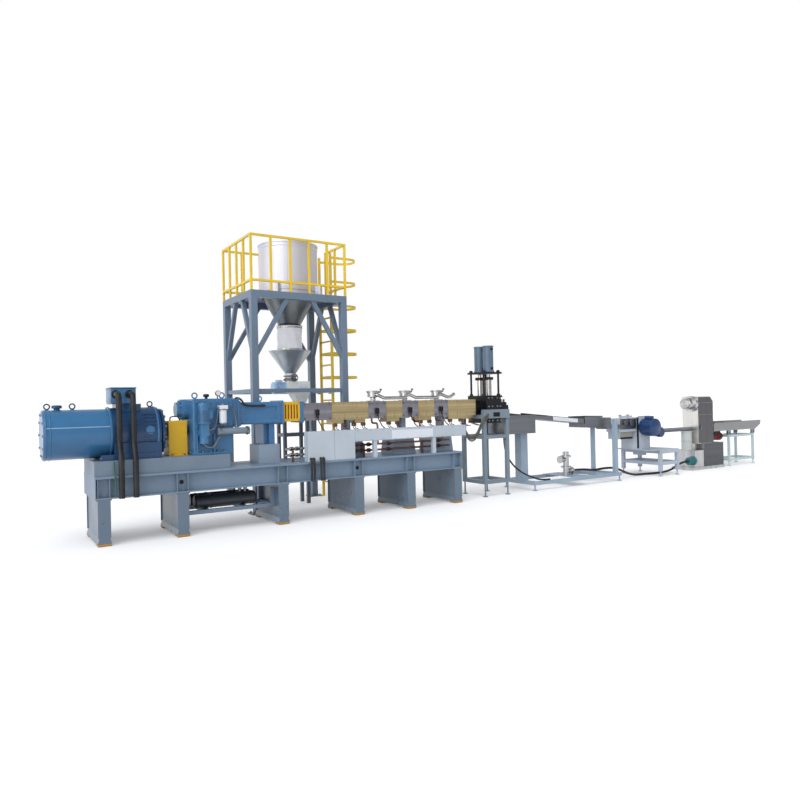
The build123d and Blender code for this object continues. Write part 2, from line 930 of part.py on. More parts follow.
def machine_pedestals():
    """Pedestals on the deck that carry the distribution case and the barrel."""
    stands = []
    case = block(case_pedestal_xs, both(pedestal_half), (deck_top, pedestal_top))
    plate = block(case_pedestal_xs, both(pedestal_half), (pedestal_top, pedestal_top + pedestal_plate))
    stands.append(case + plate)
    covered = [any(span[0] < x < span[1] for span in heater_spans) for x in support_xs]
    for x, share, under_cover in zip(support_xs, support_shift_shares, covered):
        shift = share * (pedestal_head_half - support_post_half) * 2
        centre = x - shift / 2
        outline = Polyline(
            (centre - pedestal_foot_half, 0, deck_top), (centre + pedestal_foot_half, 0, deck_top),
            (centre + pedestal_head_half, 0, pedestal_top), (centre - pedestal_head_half, 0, pedestal_top),
            close=True,
        )
        foot = extrude(make_face(outline), pedestal_half, both=True)
        head = barrel_zs[0] - (cover_rise if under_cover else 0)
        post = block(around(x, support_post_half), both(support_post_depth), (pedestal_top, head))
        saddle = block(around(x, support_saddle_half), both(barrel_half), (head - support_saddle, head))
        stands.append(joined([foot, post, saddle]))
    return joined(stands)


def vent_line():
    """Three vent cups on the barrel, joined by one bent manifold pipe."""
    base = barrel_zs[1]
    pieces = []
    for x in vent_xs:
        pieces.append(block(around(x, vent_flange_half), both(vent_flange_half), (base, base + vent_flange)))
        low = base + vent_flange
        neck = low + vent_neck
        top = neck + vent_cup_height
        profile = (
            (0, low), (vent_neck_radius, low), (vent_neck_radius, neck), (vent_cup_radius, neck + vent_cup_floor),
            (vent_cup_radius, top - vent_rim), (vent_cup_radius + vent_rim, top - vent_rim),
            (vent_cup_radius + vent_rim, top), (vent_cup_radius - vent_cup_wall, top),
            (vent_cup_radius - vent_cup_wall, neck + vent_cup_floor * 2), (0, neck + vent_cup_floor * 2),
        )
        pieces.append(turned(profile, x, 0))
    high = base + vent_flange + vent_neck + vent_cup_height / 2
    low = high - manifold_drop
    ends = vent_xs[1:] + (manifold_end,)
    for x, end in zip(vent_xs, ends):
        first = x + vent_cup_radius
        points = (
            (x, -vent_neck_radius, high), (x, manifold_y, high), (first + manifold_bend, manifold_y, low),
            (end - vent_cup_radius, manifold_y, low), (end, manifold_y, high),
        )
        pieces.append(tube_path(points, manifold_radius, manifold_bend))
    return joined(pieces)


def cable_trunk():
    """Junction box and cable duct along the front of the barrel, on posts."""
    box = block(box_xs, trunk_ys, (deck_top, box_top))
    duct = block(duct_xs, trunk_ys, duct_zs)
    pieces = [box, duct]
    for x in trunk_post_xs:
        pieces.append(block(around(x, trunk_post_half), trunk_post_ys, (deck_top, duct_zs[0])))
    whole = joined(pieces)
    return fillet(whole.edges().filter_by(Axis.Z).group_by(Axis.Y)[0], trunk_round)


def cooling_pipes():
    """Two cooling water pipes behind the trunk with risers to the barrel."""
    pieces = [rod_x(pipe_xs, pipe_y, z, pipe_radius) for z in pipe_zs]
    for x in pipe_stand_xs:
        pieces.append(block(around(x, pipe_stand_half), around(pipe_y, pipe_stand_half), (deck_top, pipe_zs[1])))
    for x in riser_xs:
        points = ((x, pipe_y, pipe_zs[1]), (x, pipe_y, riser_z), (x, riser_y, riser_z), (x, riser_y, barrel_zs[0]))
        pieces.append(tube_path(points, pipe_radius, riser_bend))
    return joined(pieces)


def screen_changer_block():
    """Screen changer body with two upright slide bores, barrel adapter and lower yoke."""
    body = block(block_xs, both(block_half), block_zs)
    yoke = block(yoke_xs, both(yoke_half), yoke_zs)
    adapter = rod_x((barrel_xs[1], block_xs[0]), 0, screw_z, adapter_radius)
    whole = joined([body, yoke, adapter])
    for y in (-piston_y, piston_y):
        whole = whole - rod_z(piston_x, y, (block_zs[0], yoke_zs[1]), bolt_radius + run_gap)
    return whole


def screen_changer_frame():
    """Head plate on four tie rods above the screen changer."""
    plate = block(yoke_xs, both(yoke_half), head_plate_zs)
    pieces = [plate]
    for x in tie_xs:
        for y in (-tie_y, tie_y):
            pieces.append(rod_z(x, y, (yoke_zs[1], tie_top), tie_radius))
            for z in (yoke_zs[1], head_plate_zs[1]):
                pieces.append(rod_z(x, y, (z, z + tie_nut), tie_radius + tie_nut / 2))
    whole = joined(pieces)
    for y in (-piston_y, piston_y):
        whole = whole - rod_z(piston_x, y, head_plate_zs, rod_radius + run_gap)
    return whole


def hydraulic_cylinders():
    """Two upright hydraulic cylinders on the head plate."""
    cylinders = []
    for y in (-piston_y, piston_y):
        body = rod_z(piston_x, y, cylinder_zs, cylinder_radius)
        cap = rod_z(piston_x, y, (cylinder_zs[1] - cylinder_cap, cylinder_zs[1]), cylinder_cap_radius)
        foot = rod_z(piston_x, y, (cylinder_zs[0], cylinder_zs[0] + cylinder_cap), cylinder_cap_radius)
        bore = rod_z(piston_x, y, (cylinder_zs[0], cylinder_zs[1] - cylinder_cap), cylinder_bore)
        cylinders.append(body + cap + foot - bore)
    return joined(cylinders)


def slide_piston(y):
    """Piston, rod, link disc and screen slide bolt of one cylinder."""
    pieces = [
        rod_z(piston_x, y, bolt_zs, bolt_radius),
        rod_z(piston_x, y, link_zs, link_radius),
        rod_z(piston_x, y, (link_zs[1], rod_top), rod_radius),
        rod_z(piston_x, y, (rod_top, rod_top + piston_head), cylinder_bore - piston_gap),
    ]
    return joined(pieces)


def die_head():
    """Strand die with its row of nozzles."""
    body = block(die_xs, both(die_half), die_zs)
    body = chamfer(body.edges().group_by(Axis.X)[-1], nozzle_length)
    face_xs = (die_xs[1], die_xs[1] + die_face)
    pieces = [body, block(face_xs, both(die_face_half), die_face_zs)]
    pitch = 2 * die_face_half / (nozzle_count + 1)
    for n in range(nozzle_count):
        y = pitch * (n + 1) - die_face_half
        pieces.append(rod_x((face_xs[1], face_xs[1] + nozzle_length), y, sum(die_face_zs) / 2, nozzle_radius))
    return joined(pieces)


def frame_ring(xs, ys, z, tube):
    """Level rectangle of square tube, its top at z + tube."""
    zs = (z, z + tube)
    return joined([
        block(xs, (ys[0], ys[0] + tube), zs), block(xs, (ys[1] - tube, ys[1]), zs),
        block((xs[0], xs[0] + tube), ys, zs), block((xs[1] - tube, xs[1]), ys, zs),
    ])


def frame_legs(xs, ys, zs, tube):
    """Four corner legs of square tube."""
    return joined([
        block((x, x + tube), (y, y + tube), zs)
        for x in (xs[0], xs[1] - tube) for y in (ys[0], ys[1] - tube)
    ])


def corner_feet(xs, ys, tube, top):
    """Levelling feet below the four corners of a frame."""
    half = tube / 2
    return joined([
        level_foot(x, y, top)
        for x in (xs[0] + half, xs[1] - half) for y in (ys[0] + half, ys[1] - half)
    ])


def die_stand():
    """Four legged stand that holds the screen changer between its front and rear brackets."""
    rail_top_z = stand_rail_z + stand_tube
    pieces = [
        frame_ring(stand_xs, stand_ys, stand_mid_z, stand_tube),
        frame_ring(stand_xs, stand_ys, stand_low_z, stand_tube),
        frame_legs(stand_xs, stand_ys, (stand_low_z, rail_top_z), stand_tube),
        corner_feet(stand_xs, stand_ys, stand_tube, stand_low_z),
    ]
    front_ys = (stand_ys[0], stand_ys[0] + stand_tube)
    for xs in ((stand_xs[0], stand_xs[0] + stand_tube), (stand_xs[1] - stand_tube, stand_xs[1])):
        pieces.append(block(xs, stand_ys, (stand_rail_z, rail_top_z)))
        pieces.append(block(xs, front_ys, (rail_top_z, stand_bracket_top)))
    plate_ys = (stand_ys[0] - stand_bracket, stand_ys[0])
    plate = block(stand_xs, plate_ys, (stand_rail_z, stand_bracket_top))
    pieces.append(plate - block(stand_window_xs, plate_ys, stand_window_zs))
    pieces.append(block(stand_xs, (block_half, block_half + stand_bracket), (stand_rail_z, stand_bracket_top)))
    return joined(pieces)


def trough_under(x):
    """Height of the trough's underside at a place along the line."""
    slope = radians(trough_slope)
    return trough_top - (x - trough_start) * tan(slope) - trough_depth / cos(slope)


def water_tank():
    """Open tank below the die, notched where the trough leaves it."""
    ys = around(strand_y, tank_half)
    outer = block(tank_xs, ys, tank_zs)
    inner = block((tank_xs[0] + tank_wall, tank_xs[1] - tank_wall),
                  (ys[0] + tank_wall, ys[1] - tank_wall), (tank_zs[0] + tank_wall, tank_zs[1]))
    notch = block((tank_xs[1] - tank_wall, tank_xs[1]), around(strand_y, trough_half + notch_gap),
                  (trough_under(tank_xs[1]) - fit_gap, tank_zs[1]))
    return outer - inner - notch


def strand_trough():
    """Sloping open channel that carries strands and water from tank to drain box."""
    length = trough_end - trough_start
    outer = block((0, length), both(trough_half), (-trough_depth, 0))
    inner = block((0, length), both(trough_half - trough_wall), (trough_wall - trough_depth, 0))
    lip = [
        block((0, length), ys, (-trough_wall, 0))
        for ys in ((-trough_half - trough_wall, -trough_half), (trough_half, trough_half + trough_wall))
    ]
    return Pos(trough_start, strand_y, trough_top) * Rot(0, trough_slope, 0) * joined([outer - inner] + lip)


def drain_box():
    """Drain box and outlet box at the low end of the trough."""
    ys = around(strand_y, drain_half)
    outer = block(drain_xs, ys, drain_zs)
    inner = block((drain_xs[0] + drain_wall, drain_xs[1] - drain_wall),
                  (ys[0] + drain_wall, ys[1] - drain_wall), (drain_zs[0] + drain_wall, drain_zs[1]))
    notch = block((drain_xs[0], drain_xs[0] + drain_wall), around(strand_y, trough_half + notch_gap),
                  (trough_under(drain_xs[0] + drain_wall) - fit_gap, drain_zs[1]))
    out = block(outlet_xs, around(strand_y, outlet_half), outlet_zs)
    core = block(outlet_xs, around(strand_y, outlet_half - drain_wall),
                 (outlet_zs[0] + drain_wall, outlet_zs[1] - drain_wall))
    mouth = block((drain_xs[1] - drain_wall, drain_xs[1]), around(strand_y, outlet_half - drain_wall),
                  (outlet_zs[0] + drain_wall, outlet_zs[1] - drain_wall))
    throat_y = (strand_y + pel_y) / 2
    throat = block(throat_xs, around(throat_y, throat_half), throat_zs)
    throat = throat - block(throat_xs, around(throat_y, throat_half - drain_wall),
                            (throat_zs[0] + drain_wall, throat_zs[1]))
    return joined([outer - inner - notch - mouth, out - core, throat])


def trough_frame():
    """Floor frame with pillar, posts, gate and feet that carries tank and drain box."""
    ys = around(strand_y, frame_half)
    pieces = [frame_ring(frame_xs, ys, frame_z, frame_tube)]
    pieces.append(corner_feet(frame_xs, ys, frame_tube, frame_z))
    for x in (pillar_x, drain_post_x):
        pieces.append(block(around(x, frame_tube / 2), ys, (frame_z, frame_top)))
    pieces.append(block(around(pillar_x, pillar_half), around(strand_y, pillar_half), (frame_z, tank_zs[0])))
    pieces.append(block(around(drain_post_x, drain_post_half), around(strand_y, drain_post_half),
                        (frame_z, drain_zs[0])))
    gate_ys = (ys[0], ys[0] + gate_tube)
    pieces.append(block(around(gate_x, gate_tube / 2), gate_ys, (frame_z, gate_top)))
    pieces.append(block(shelf_xs, ys, (frame_top, frame_top + shelf)))
    return joined(pieces)


def water_pump():
    """Upright stainless water pump on the frame shelf, with flange rings and side branch."""
    pieces = [rod_z(wpump_x, strand_y, wpump_zs, wpump_radius)]
    z = wpump_zs[0]
    for n in range(2):
        pieces.append(rod_z(wpump_x, strand_y, (z, z + wpump_cap), wpump_ring))
        z = wpump_zs[1] - wpump_ring_step - wpump_cap
    mid = wpump_zs[0] + wpump_ring_step
    pieces.append(rod_x((wpump_x, wpump_x + wpump_tail), strand_y, mid, wpump_tail_radius))
    pieces.append(rod_x((wpump_x - wpump_tail, wpump_x), strand_y, wpump_zs[1] - wpump_ring_step * 2,
                        wpump_tail_radius))
    return joined(pieces)


def pelletizer_frame():
    """Four legged welded table of the pelletizer with discharge chute and feet."""
    ys = around(strand_y, pel_half)
    pieces = [
        frame_ring(pel_xs, ys, pel_frame_top - pel_tube, pel_tube),
        frame_ring(pel_xs, ys, pel_low_z, pel_tube),
        frame_legs(pel_xs, ys, (frame_z, pel_frame_top), pel_tube),
        corner_feet(pel_xs, ys, pel_tube, frame_z),
        block((body_xs[0] - cheek, pel_xs[1]), ys, (pel_frame_top, pel_top)),
        block(chute_xs, around(pel_y, throat_half), chute_zs),
    ]
    return joined(pieces)


def pelletizer_body():
    """Cutter housing between two cheek plates with the feed housing in front."""
    ys = around(pel_y, body_half)
    main = block(body_xs, ys, (pel_top, body_top))
    main = fillet(main.edges().filter_by(Axis.Y).group_by(Axis.Z)[-1], body_round)
    pieces = [main]
    for y in (ys[0] - cheek, ys[1]):
        pieces.append(block(body_xs, (y, y + cheek), (pel_top, body_top + cheek_rise)))
    feed_ys = around(pel_y, feed_half)
    feed = block(feed_xs, feed_ys, feed_zs)
    feed = feed - block(feed_xs, around(pel_y, feed_half - cheek), feed_mouth_zs)
    pieces.append(feed)
    pieces.append(block(tray_xs, around(pel_y, tray_half), tray_zs))
    return joined(pieces)


def pelletizer_motor():
    """Cutter motor with cooling fins and the smaller feed gear motor."""
    face = pel_y - body_half - cheek
    drive_ys = (face - drive_gap - drive_length, face - drive_gap)
    pieces = [
        rod_y(drive_x, drive_ys, drive_z, drive_radius),
        rod_y(drive_x, (drive_ys[1], face), drive_z, drive_radius - drive_nose),
        rod_y(gear2_x, (face - gear2_length, face), gear2_z, gear2_radius),
    ]
    fin_ys = (drive_ys[0] + drive_cap, drive_ys[1])
    for n in range(drive_fin_count):
        fin = block(both(drive_fin_width / 2), fin_ys, (0, drive_radius + drive_fin))
        turn = n * 2 * half_turn / drive_fin_count
        pieces.append(Pos(drive_x, 0, drive_z) * Rot(0, turn, 0) * fin)
    return joined(pieces)


def pellet_pipe():
    """Pipe from the cutter housing to the dryer."""
    return rod_x((body_xs[1], col_xs[0]), strand_y, pellet_pipe_z, pellet_pipe_radius)


def dryer_base():
    """Dryer sole plate with its water tank and side tank."""
    ys = around(strand_y, dry_base_half)
    tank = block(dry_tank_xs, around(strand_y, dry_tank_half), (dry_base, dry_tank_top))
    side = block(dry_side_xs, around(strand_y, dry_tank_half), (dry_base, dry_side_top))
    return joined([block(dry_base_xs, ys, (0, dry_base)), tank, side])


def dryer_column():
    """Dryer column with bevelled head, standing on the dryer tank."""
    outline = Polyline(
        (col_xs[0], 0, dry_tank_top), (col_xs[1], 0, dry_tank_top), (col_xs[1], 0, col_top - col_bevel),
        (col_xs[1] - col_bevel, 0, col_top), (col_xs[0], 0, col_top), close=True,
    )
    return Pos(0, col_ys[1], 0) * extrude(make_face(outline), col_ys[1] - col_ys[0])


def dryer_separator():
    """Round separator pot on the side tank."""
    return rod_z(sep_x, strand_y, sep_zs, sep_radius)


def dryer_fan():
    """Blower with its motor on the head of the dryer column."""
    scroll_xs = (col_xs[0] - fan_scroll, col_xs[0])
    pieces = [
        rod_x(scroll_xs, fan_y, fan_z, fan_scroll_radius),
        rod_x((fan_x, scroll_xs[0]), fan_y, fan_z, fan_radius),
        rod_x((fan_x - fan_cap, fan_x), fan_y, fan_z, fan_radius - fan_cap / 2),
    ]
    return joined(pieces)


def dryer_pump():
    """Small water pump beside the dryer side tank."""
    volute_xs = (dpump_xs[1] - dpump_volute, dpump_xs[1])
    pieces = [
        rod_x(dpump_xs, dpump_y, dpump_z, dpump_radius),
        rod_x(volute_xs, dpump_y, dpump_z, dpump_volute_radius),
    ]
    return joined(pieces)


def sieve_tray():
    """Vibrating sieve tray with a raised lip at its far end."""
    ys = around(strand_y, sieve_half)
    floor = sieve_zs[0] + (sieve_zs[1] - sieve_zs[0]) * sieve_floor_share
    outline = Polyline(
        (sieve_xs[0], 0, sieve_zs[0]), (sieve_xs[1] - sieve_half, 0, sieve_zs[0]), (sieve_xs[1], 0, floor),
        (sieve_xs[1], 0, sieve_zs[1]), (sieve_xs[0], 0, sieve_zs[1]), close=True,
    )
    body = Pos(0, ys[1], 0) * extrude(make_face(outline), ys[1] - ys[0])
    inner = block((sieve_xs[0] + sieve_wall, sieve_xs[1]), (ys[0] + sieve_wall, ys[1] - sieve_wall),
                  (floor, sieve_zs[1]))
    return body - inner


def sieve_frame():
    """Leg frame of the sieve with spring pads and feet."""
    ys = around(strand_y, sieve_half)
    pieces = [
        frame_ring(sieve_leg_xs, ys, sieve_frame_top - sieve_tube, sieve_tube),
        frame_ring(sieve_leg_xs, ys, sieve_low_z, sieve_tube),
        frame_legs(sieve_leg_xs, ys, (frame_z, sieve_frame_top), sieve_tube),
        corner_feet(sieve_leg_xs, ys, sieve_tube, frame_z),
    ]
    half = sieve_tube / 2
    for x in (sieve_leg_xs[0] + half, sieve_leg_xs[1] - half):
        for y in (ys[0] + half, ys[1] - half):
            pieces.append(rod_z(x, y, (sieve_frame_top, sieve_zs[0]), sieve_spring_radius))
    return joined(pieces)


def sieve_motor():
    """Vibration motor hung below the sieve tray."""
    pieces = [rod_x(shaker_xs, strand_y, shaker_z, shaker_radius)]
    for xs in ((shaker_xs[0], shaker_xs[0] + shaker_cap), (shaker_xs[1] - shaker_cap, shaker_xs[1])):
        pieces.append(rod_x(xs, strand_y, shaker_z, shaker_cap_radius))
    mid = (shaker_xs[0] + shaker_cap, shaker_xs[1] - shaker_cap)
    pieces.append(block(mid, around(strand_y, shaker_radius), (shaker_z, sieve_zs[0])))
    return joined(pieces)


def tower_frame():
    """Welded tower: columns on foot plates, platform beams, ties, knee braces and deck."""
    xs = tower_xs
    ys = tower_ys
    pieces = [frame_legs(xs, ys, (0, tower_top), column)]
    pieces.append(frame_ring(xs, ys, tower_top - tower_beam, tower_beam))
    half = column / 2
    corners = [(x, y) for x in (xs[0] + half, xs[1] - half) for y in (ys[0] + half, ys[1] - half)]
    for x, y in corners:
        pieces.append(block(around(x, foot_plate_half), around(y, foot_plate_half), (0, foot_plate)))
    tie = half - tie_bar / 2
    pieces.append(frame_ring((xs[0] + tie, xs[1] - tie), (ys[0] + tie, ys[1] - tie), tie_bar_z, tie_bar))
    high = tower_top - tower_beam / 2
    low = high - brace_drop
    for x, y in corners:
        turn_x = 1 if x < sum(xs) / 2 else -1
        turn_y = 1 if y < sum(ys) / 2 else -1
        pieces.append(bar((x, y, low), (x + turn_x * brace_reach, y, high), brace))
        pieces.append(bar((x, y, low), (x, y + turn_y * brace_side_reach, high), brace))
    deck = block(xs, ys, (tower_top, tower_top + tower_plate))
    pieces.append(deck - rod_z(hop_x, hop_y, (tower_top, tower_top + tower_plate), deck_hole))
    return joined(pieces)


def tower_railings():
    """Railing of posts and rails round the platform, open where the ladder arrives."""
    base = tower_top + tower_plate
    half = rail_bar / 2
    xs = (tower_xs[0] + half, tower_xs[1] - half)
    ys = (tower_ys[0] + half, tower_ys[1] - half)
    bars = []
    step = (xs[1] - xs[0]) / rail_bays
    side_step = (ys[1] - ys[0]) / rail_side_bays
    for y in ys:
        for n in range(rail_bays + 1):
            bars.append(block(around(xs[0] + step * n, half), around(y, half), (base, rail_top)))
        for z in (rail_low, rail_top - rail_bar):
            bars.append(block((xs[0] - half, xs[1] + half), around(y, half), (z, z + rail_bar)))
    for n in range(1, rail_side_bays):
        bars.append(block(around(xs[0], half), around(ys[0] + side_step * n, half), (base, rail_top)))
    for z in (rail_low, rail_top - rail_bar):
        bars.append(block(around(xs[0], half), ys, (z, z + rail_bar)))
        bars.append(block(around(xs[1], half), (ys[0], ladder_ys[0]), (z, z + rail_bar)))
        bars.append(block(around(xs[1], half), (ladder_ys[1], ys[1]), (z, z + rail_bar)))
    mid = (ys[0] + ladder_ys[0]) / 2
    for y in (mid, ladder_ys[0], ladder_ys[1]):
        bars.append(block(around(xs[1], half), around(y, half), (base, rail_top)))
    return joined(bars)


def ladder_with_cage():
    """Upright ladder with rungs, wall clips and cage hoops."""
    half = ladder_bar / 2
    bars = []
    for y in ladder_ys:
        bars.append(block(around(ladder_x, half), around(y, half), (0, rail_top)))
        for z in ladder_clip_zs:
            bars.append(block((tower_xs[1], ladder_x), around(y, half), around(z, half)))
    for n in range(rung_count):
        z = rung_low + rung_step * n
        bars.append(block(around(ladder_x, rung / 2), ladder_ys, around(z, rung / 2)))
    radius = (ladder_ys[1] - ladder_ys[0]) / 2
    centre = (ladder_x + hoop_run, sum(ladder_ys) / 2)
    for n in range(hoop_count):
        z = hoop_low + hoop_step * n
        ring = Circle(radius + hoop_thick) - Circle(radius)
        cut = Pos(-radius, 0) * Rectangle(2 * radius, 4 * radius)
        bend = Pos(centre[0], centre[1], z) * extrude(ring - cut, hoop_width)
        bars.append(bend)
        for y in (ladder_ys[0] - hoop_thick, ladder_ys[1]):
            bars.append(block((ladder_x, centre[0]), (y, y + hoop_thick), (z, z + hoop_width)))
    return joined(bars)


def trunk_cables():
    """Four cables from the junction box down over the front beam."""
    front = -base_half - lead_reach
    start = deck_top + lead_rise
    runs = []
    for x in lead_xs:
        points = ((x, -base_half, start), (x, front, start), (x, front, beam_bottom))
        runs.append(tube_path(points, lead_radius, lead_bend))
    return joined(runs)


def pump_hose():
    """Hose from the water pump over the floor to the dryer pump."""
    return free_hose(pump_hose_route, pump_hose_radius)


def die_hose():
    """Hose from the die stand down to the trough frame."""
    return free_hose(die_hose_route, die_hose_radius)


def hopper_barrel():
    """Round hopper wall with rolled rim and four support lugs on the platform."""
    profile = (
        (hop_radius - hop_wall, hop_zs[0]), (hop_radius, hop_zs[0]), (hop_radius, hop_zs[1] - hop_rim),
        (hop_radius + hop_rim, hop_zs[1] - hop_rim), (hop_radius + hop_rim, hop_zs[1]),
        (hop_radius - hop_wall, hop_zs[1]),
    )
    pieces = [turned(profile, hop_x, hop_y)]
    base = tower_top + tower_plate
    end = hop_radius + hop_lug
    for turn in range(4):
        lug = block((hop_radius + fit_gap, end), both(hop_lug_half), (base, hop_zs[0]))
        lug = lug + block((hop_radius - hop_wall / 2, end), both(hop_lug_half), (hop_zs[0], hop_zs[0] + hop_lug))
        pieces.append(Pos(hop_x, hop_y, 0) * Rot(0, 0, quarter_turn / 2 + turn * quarter_turn) * lug)
    return joined(pieces)


def hopper_cone():
    """Hopper cone with its outlet flange."""
    low = cone_bottom - cone_flange
    profile = (
        (hop_radius - hop_wall, hop_zs[0]), (cone_radius - hop_wall, cone_bottom), (cone_radius - hop_wall, low),
        (sleeve_radius + hop_wall, low), (sleeve_radius + hop_wall, cone_bottom), (cone_radius, cone_bottom),
        (hop_radius, hop_zs[0]),
    )
    return turned(profile, hop_x, hop_y)


def hopper_sleeve():
    """Flexible sleeve between hopper outlet and feeder funnel."""
    profile = (
        (sleeve_radius - sleeve_wall, sleeve_zs[0]), (sleeve_radius, sleeve_zs[0]),
        (sleeve_radius, sleeve_zs[1]), (sleeve_radius - sleeve_wall, sleeve_zs[1]),
    )
    return turned(profile, hop_x, hop_y)


def feed_funnel():
    """Feeder funnel with a flat lid and bottom flange."""
    top = sleeve_zs[0]
    lid = top - funnel_lid
    hole = sleeve_radius - sleeve_wall
    low = funnel_bottom + funnel_lid
    profile = (
        (hole, top), (funnel_radius, top), (funnel_radius, lid), (funnel_low_radius, low),
        (feeder_neck_radius, low), (feeder_neck_radius, funnel_bottom),
        (funnel_low_radius - funnel_wall, funnel_bottom), (funnel_low_radius - funnel_wall, low),
        (funnel_radius - funnel_wall * 2, lid), (hole, lid),
    )
    return turned(profile, hop_x, hop_y)


def feeder_body():
    """Screw feeder housing with neck and tapered spout."""
    ys = around(hop_y, feeder_half)
    neck = rod_z(hop_x, hop_y, (feeder_zs[1], funnel_bottom), feeder_neck_radius)
    body = block(feeder_xs, ys, feeder_zs)
    high = Plane(origin=(sum(spout_xs) / 2, hop_y, feeder_zs[0]))
    low = Plane(origin=(sum(spout_low_xs) / 2, hop_y, spout_bottom))
    spout = loft([low * Rectangle(spout_low_xs[1] - spout_low_xs[0], 2 * spout_low_half),
                  high * Rectangle(spout_xs[1] - spout_xs[0], 2 * feeder_half)])
    return joined([neck, body, spout])


def feeder_motor():
    """Feeder gear motor beside the feeder housing."""
    pieces = [rod_x(fmotor_xs, hop_y, fmotor_z, fmotor_radius)]
    pieces.append(rod_x((fmotor_xs[0], fmotor_xs[0] + fmotor_cap), hop_y, fmotor_z, fmotor_radius + hop_rim))
    return joined(pieces)


def side_feeder():
    """Side feeder from the spout to the back of the barrel."""
    box = block(side_box_xs, around(hop_y, side_box_half), side_box_zs)
    tube = block(side_tube_xs, (barrel_half, hop_y), side_tube_zs)
    rise = side_flange_rise
    flange = block((side_tube_xs[0] - rise, side_tube_xs[1] + rise), (barrel_half, barrel_half + side_flange),
                   (side_tube_zs[0] - rise, side_tube_zs[1] + rise))
    return joined([box, tube, flange])


def side_feeder_stand():
    """Dark tube stand below the side feeder."""
    ys = around(hop_y, side_box_half)
    pieces = [
        frame_legs(side_box_xs, ys, (0, side_box_zs[0]), side_stand_tube),
        frame_ring(side_box_xs, ys, side_stand_rail_z, side_stand_tube),
    ]
    return joined(pieces)


pieces = {
    "base_legs": base_legs(),
    "base_foot_pads": base_foot_pads(),
    "base_frame": base_frame(),
    "drive_plinth": drive_plinth(),
    "oil_station_rack": oil_station_rack(),
    "oil_tanks": oil_tanks(),
    "motor_body": motor_body(),
    "motor_cowl": motor_cowl(),
    "motor_cables": motor_cables(),
    "coupling_guard": coupling_guard(),
    "gearbox_housing": gearbox_housing(),
    "oil_pump_motor": oil_pump_motor(),
    "oil_filter": oil_filter(),
    "oil_cooler": oil_cooler(),
    "distribution_case": distribution_case(),
    "lantern_guard": lantern_guard(),
    "barrel_core": barrel_core(),
    "heater_covers": heater_covers(),
    "machine_pedestals": machine_pedestals(),
    "vent_line": vent_line(),
    "cable_trunk": cable_trunk(),
    "cooling_pipes": cooling_pipes(),
    "screen_changer_block": screen_changer_block(),
    "screen_changer_frame": screen_changer_frame(),
    "hydraulic_cylinders": hydraulic_cylinders(),
    "piston_front": slide_piston(-piston_y),
    "piston_rear": slide_piston(piston_y),
    "die_head": die_head(),
    "die_stand": die_stand(),
    "water_tank": water_tank(),
    "strand_trough": strand_trough(),
    "drain_box": drain_box(),
    "trough_frame": trough_frame(),
    "water_pump": water_pump(),
    "pelletizer_frame": pelletizer_frame(),
    "pelletizer_body": pelletizer_body(),
    "pelletizer_motor": pelletizer_motor(),
    "pellet_pipe": pellet_pipe(),
    "dryer_base": dryer_base(),
    "dryer_column": dryer_column(),
    "dryer_separator": dryer_separator(),
    "dryer_fan": dryer_fan(),
    "dryer_pump": dryer_pump(),
    "sieve_tray": sieve_tray(),
    "sieve_frame": sieve_frame(),
    "sieve_motor": sieve_motor(),
    "trunk_cables": trunk_cables(),
    "pump_hose": pump_hose(),
    "die_hose": die_hose(),
    "tower_frame": tower_frame(),
    "tower_railings": tower_railings(),
    "ladder_with_cage": ladder_with_cage(),
    "hopper_barrel": hopper_barrel(),
    "hopper_cone": hopper_cone(),
    "hopper_sleeve": hopper_sleeve(),
    "feed_funnel": feed_funnel(),
    "feeder_body": feeder_body(),
    "feeder_motor": feeder_motor(),
    "side_feeder": side_feeder(),
    "side_feeder_stand": side_feeder_stand(),
}

for name, shape in pieces.items():
    export_step(Pos(0, floor_pad_y, 0) * shape, f"parts/{name}.step")
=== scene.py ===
"""Looks of a plastics pelletizing line: extruder, hopper tower, strand bath, cutter, dryer and sieve.

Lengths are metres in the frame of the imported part: X runs along the line, Y from the operator's
side to the tower, Z is up and the floor is Z = 0.
"""

from __future__ import annotations

import logging
from dataclasses import dataclass
from enum import Enum

import bpy
import numpy as np
from mathutils import Matrix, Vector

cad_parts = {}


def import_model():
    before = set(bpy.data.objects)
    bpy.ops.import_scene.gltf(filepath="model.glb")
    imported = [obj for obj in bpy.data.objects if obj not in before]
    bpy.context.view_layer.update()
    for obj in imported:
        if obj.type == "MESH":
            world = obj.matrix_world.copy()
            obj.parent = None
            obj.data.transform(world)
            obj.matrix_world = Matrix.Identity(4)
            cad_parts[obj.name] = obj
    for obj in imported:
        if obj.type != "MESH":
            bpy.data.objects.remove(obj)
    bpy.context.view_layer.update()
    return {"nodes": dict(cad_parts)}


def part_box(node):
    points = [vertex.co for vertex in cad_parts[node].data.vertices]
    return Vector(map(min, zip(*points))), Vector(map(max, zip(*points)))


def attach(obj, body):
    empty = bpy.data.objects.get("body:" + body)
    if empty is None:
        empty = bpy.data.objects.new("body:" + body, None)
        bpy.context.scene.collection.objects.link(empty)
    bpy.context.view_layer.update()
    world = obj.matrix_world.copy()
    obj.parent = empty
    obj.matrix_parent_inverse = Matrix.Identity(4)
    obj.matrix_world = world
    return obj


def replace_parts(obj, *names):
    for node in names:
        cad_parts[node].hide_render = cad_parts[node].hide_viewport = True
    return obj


LOG = logging.getLogger("pelletizing_line")
Array = np.ndarray
Point = tuple[float, float, float]
Values = float | tuple[float, ...] | Array
MM = 0.001


class Axis(Enum):
    """Directions that a turned or flat piece can face."""

    ALONG = (1.0, 0.0, 0.0)
    BACK_ALONG = (-1.0, 0.0, 0.0)
    FRONT = (0.0, -1.0, 0.0)
    REAR = (0.0, 1.0, 0.0)
    UP = (0.0, 0.0, 1.0)
    DOWN = (0.0, 0.0, -1.0)


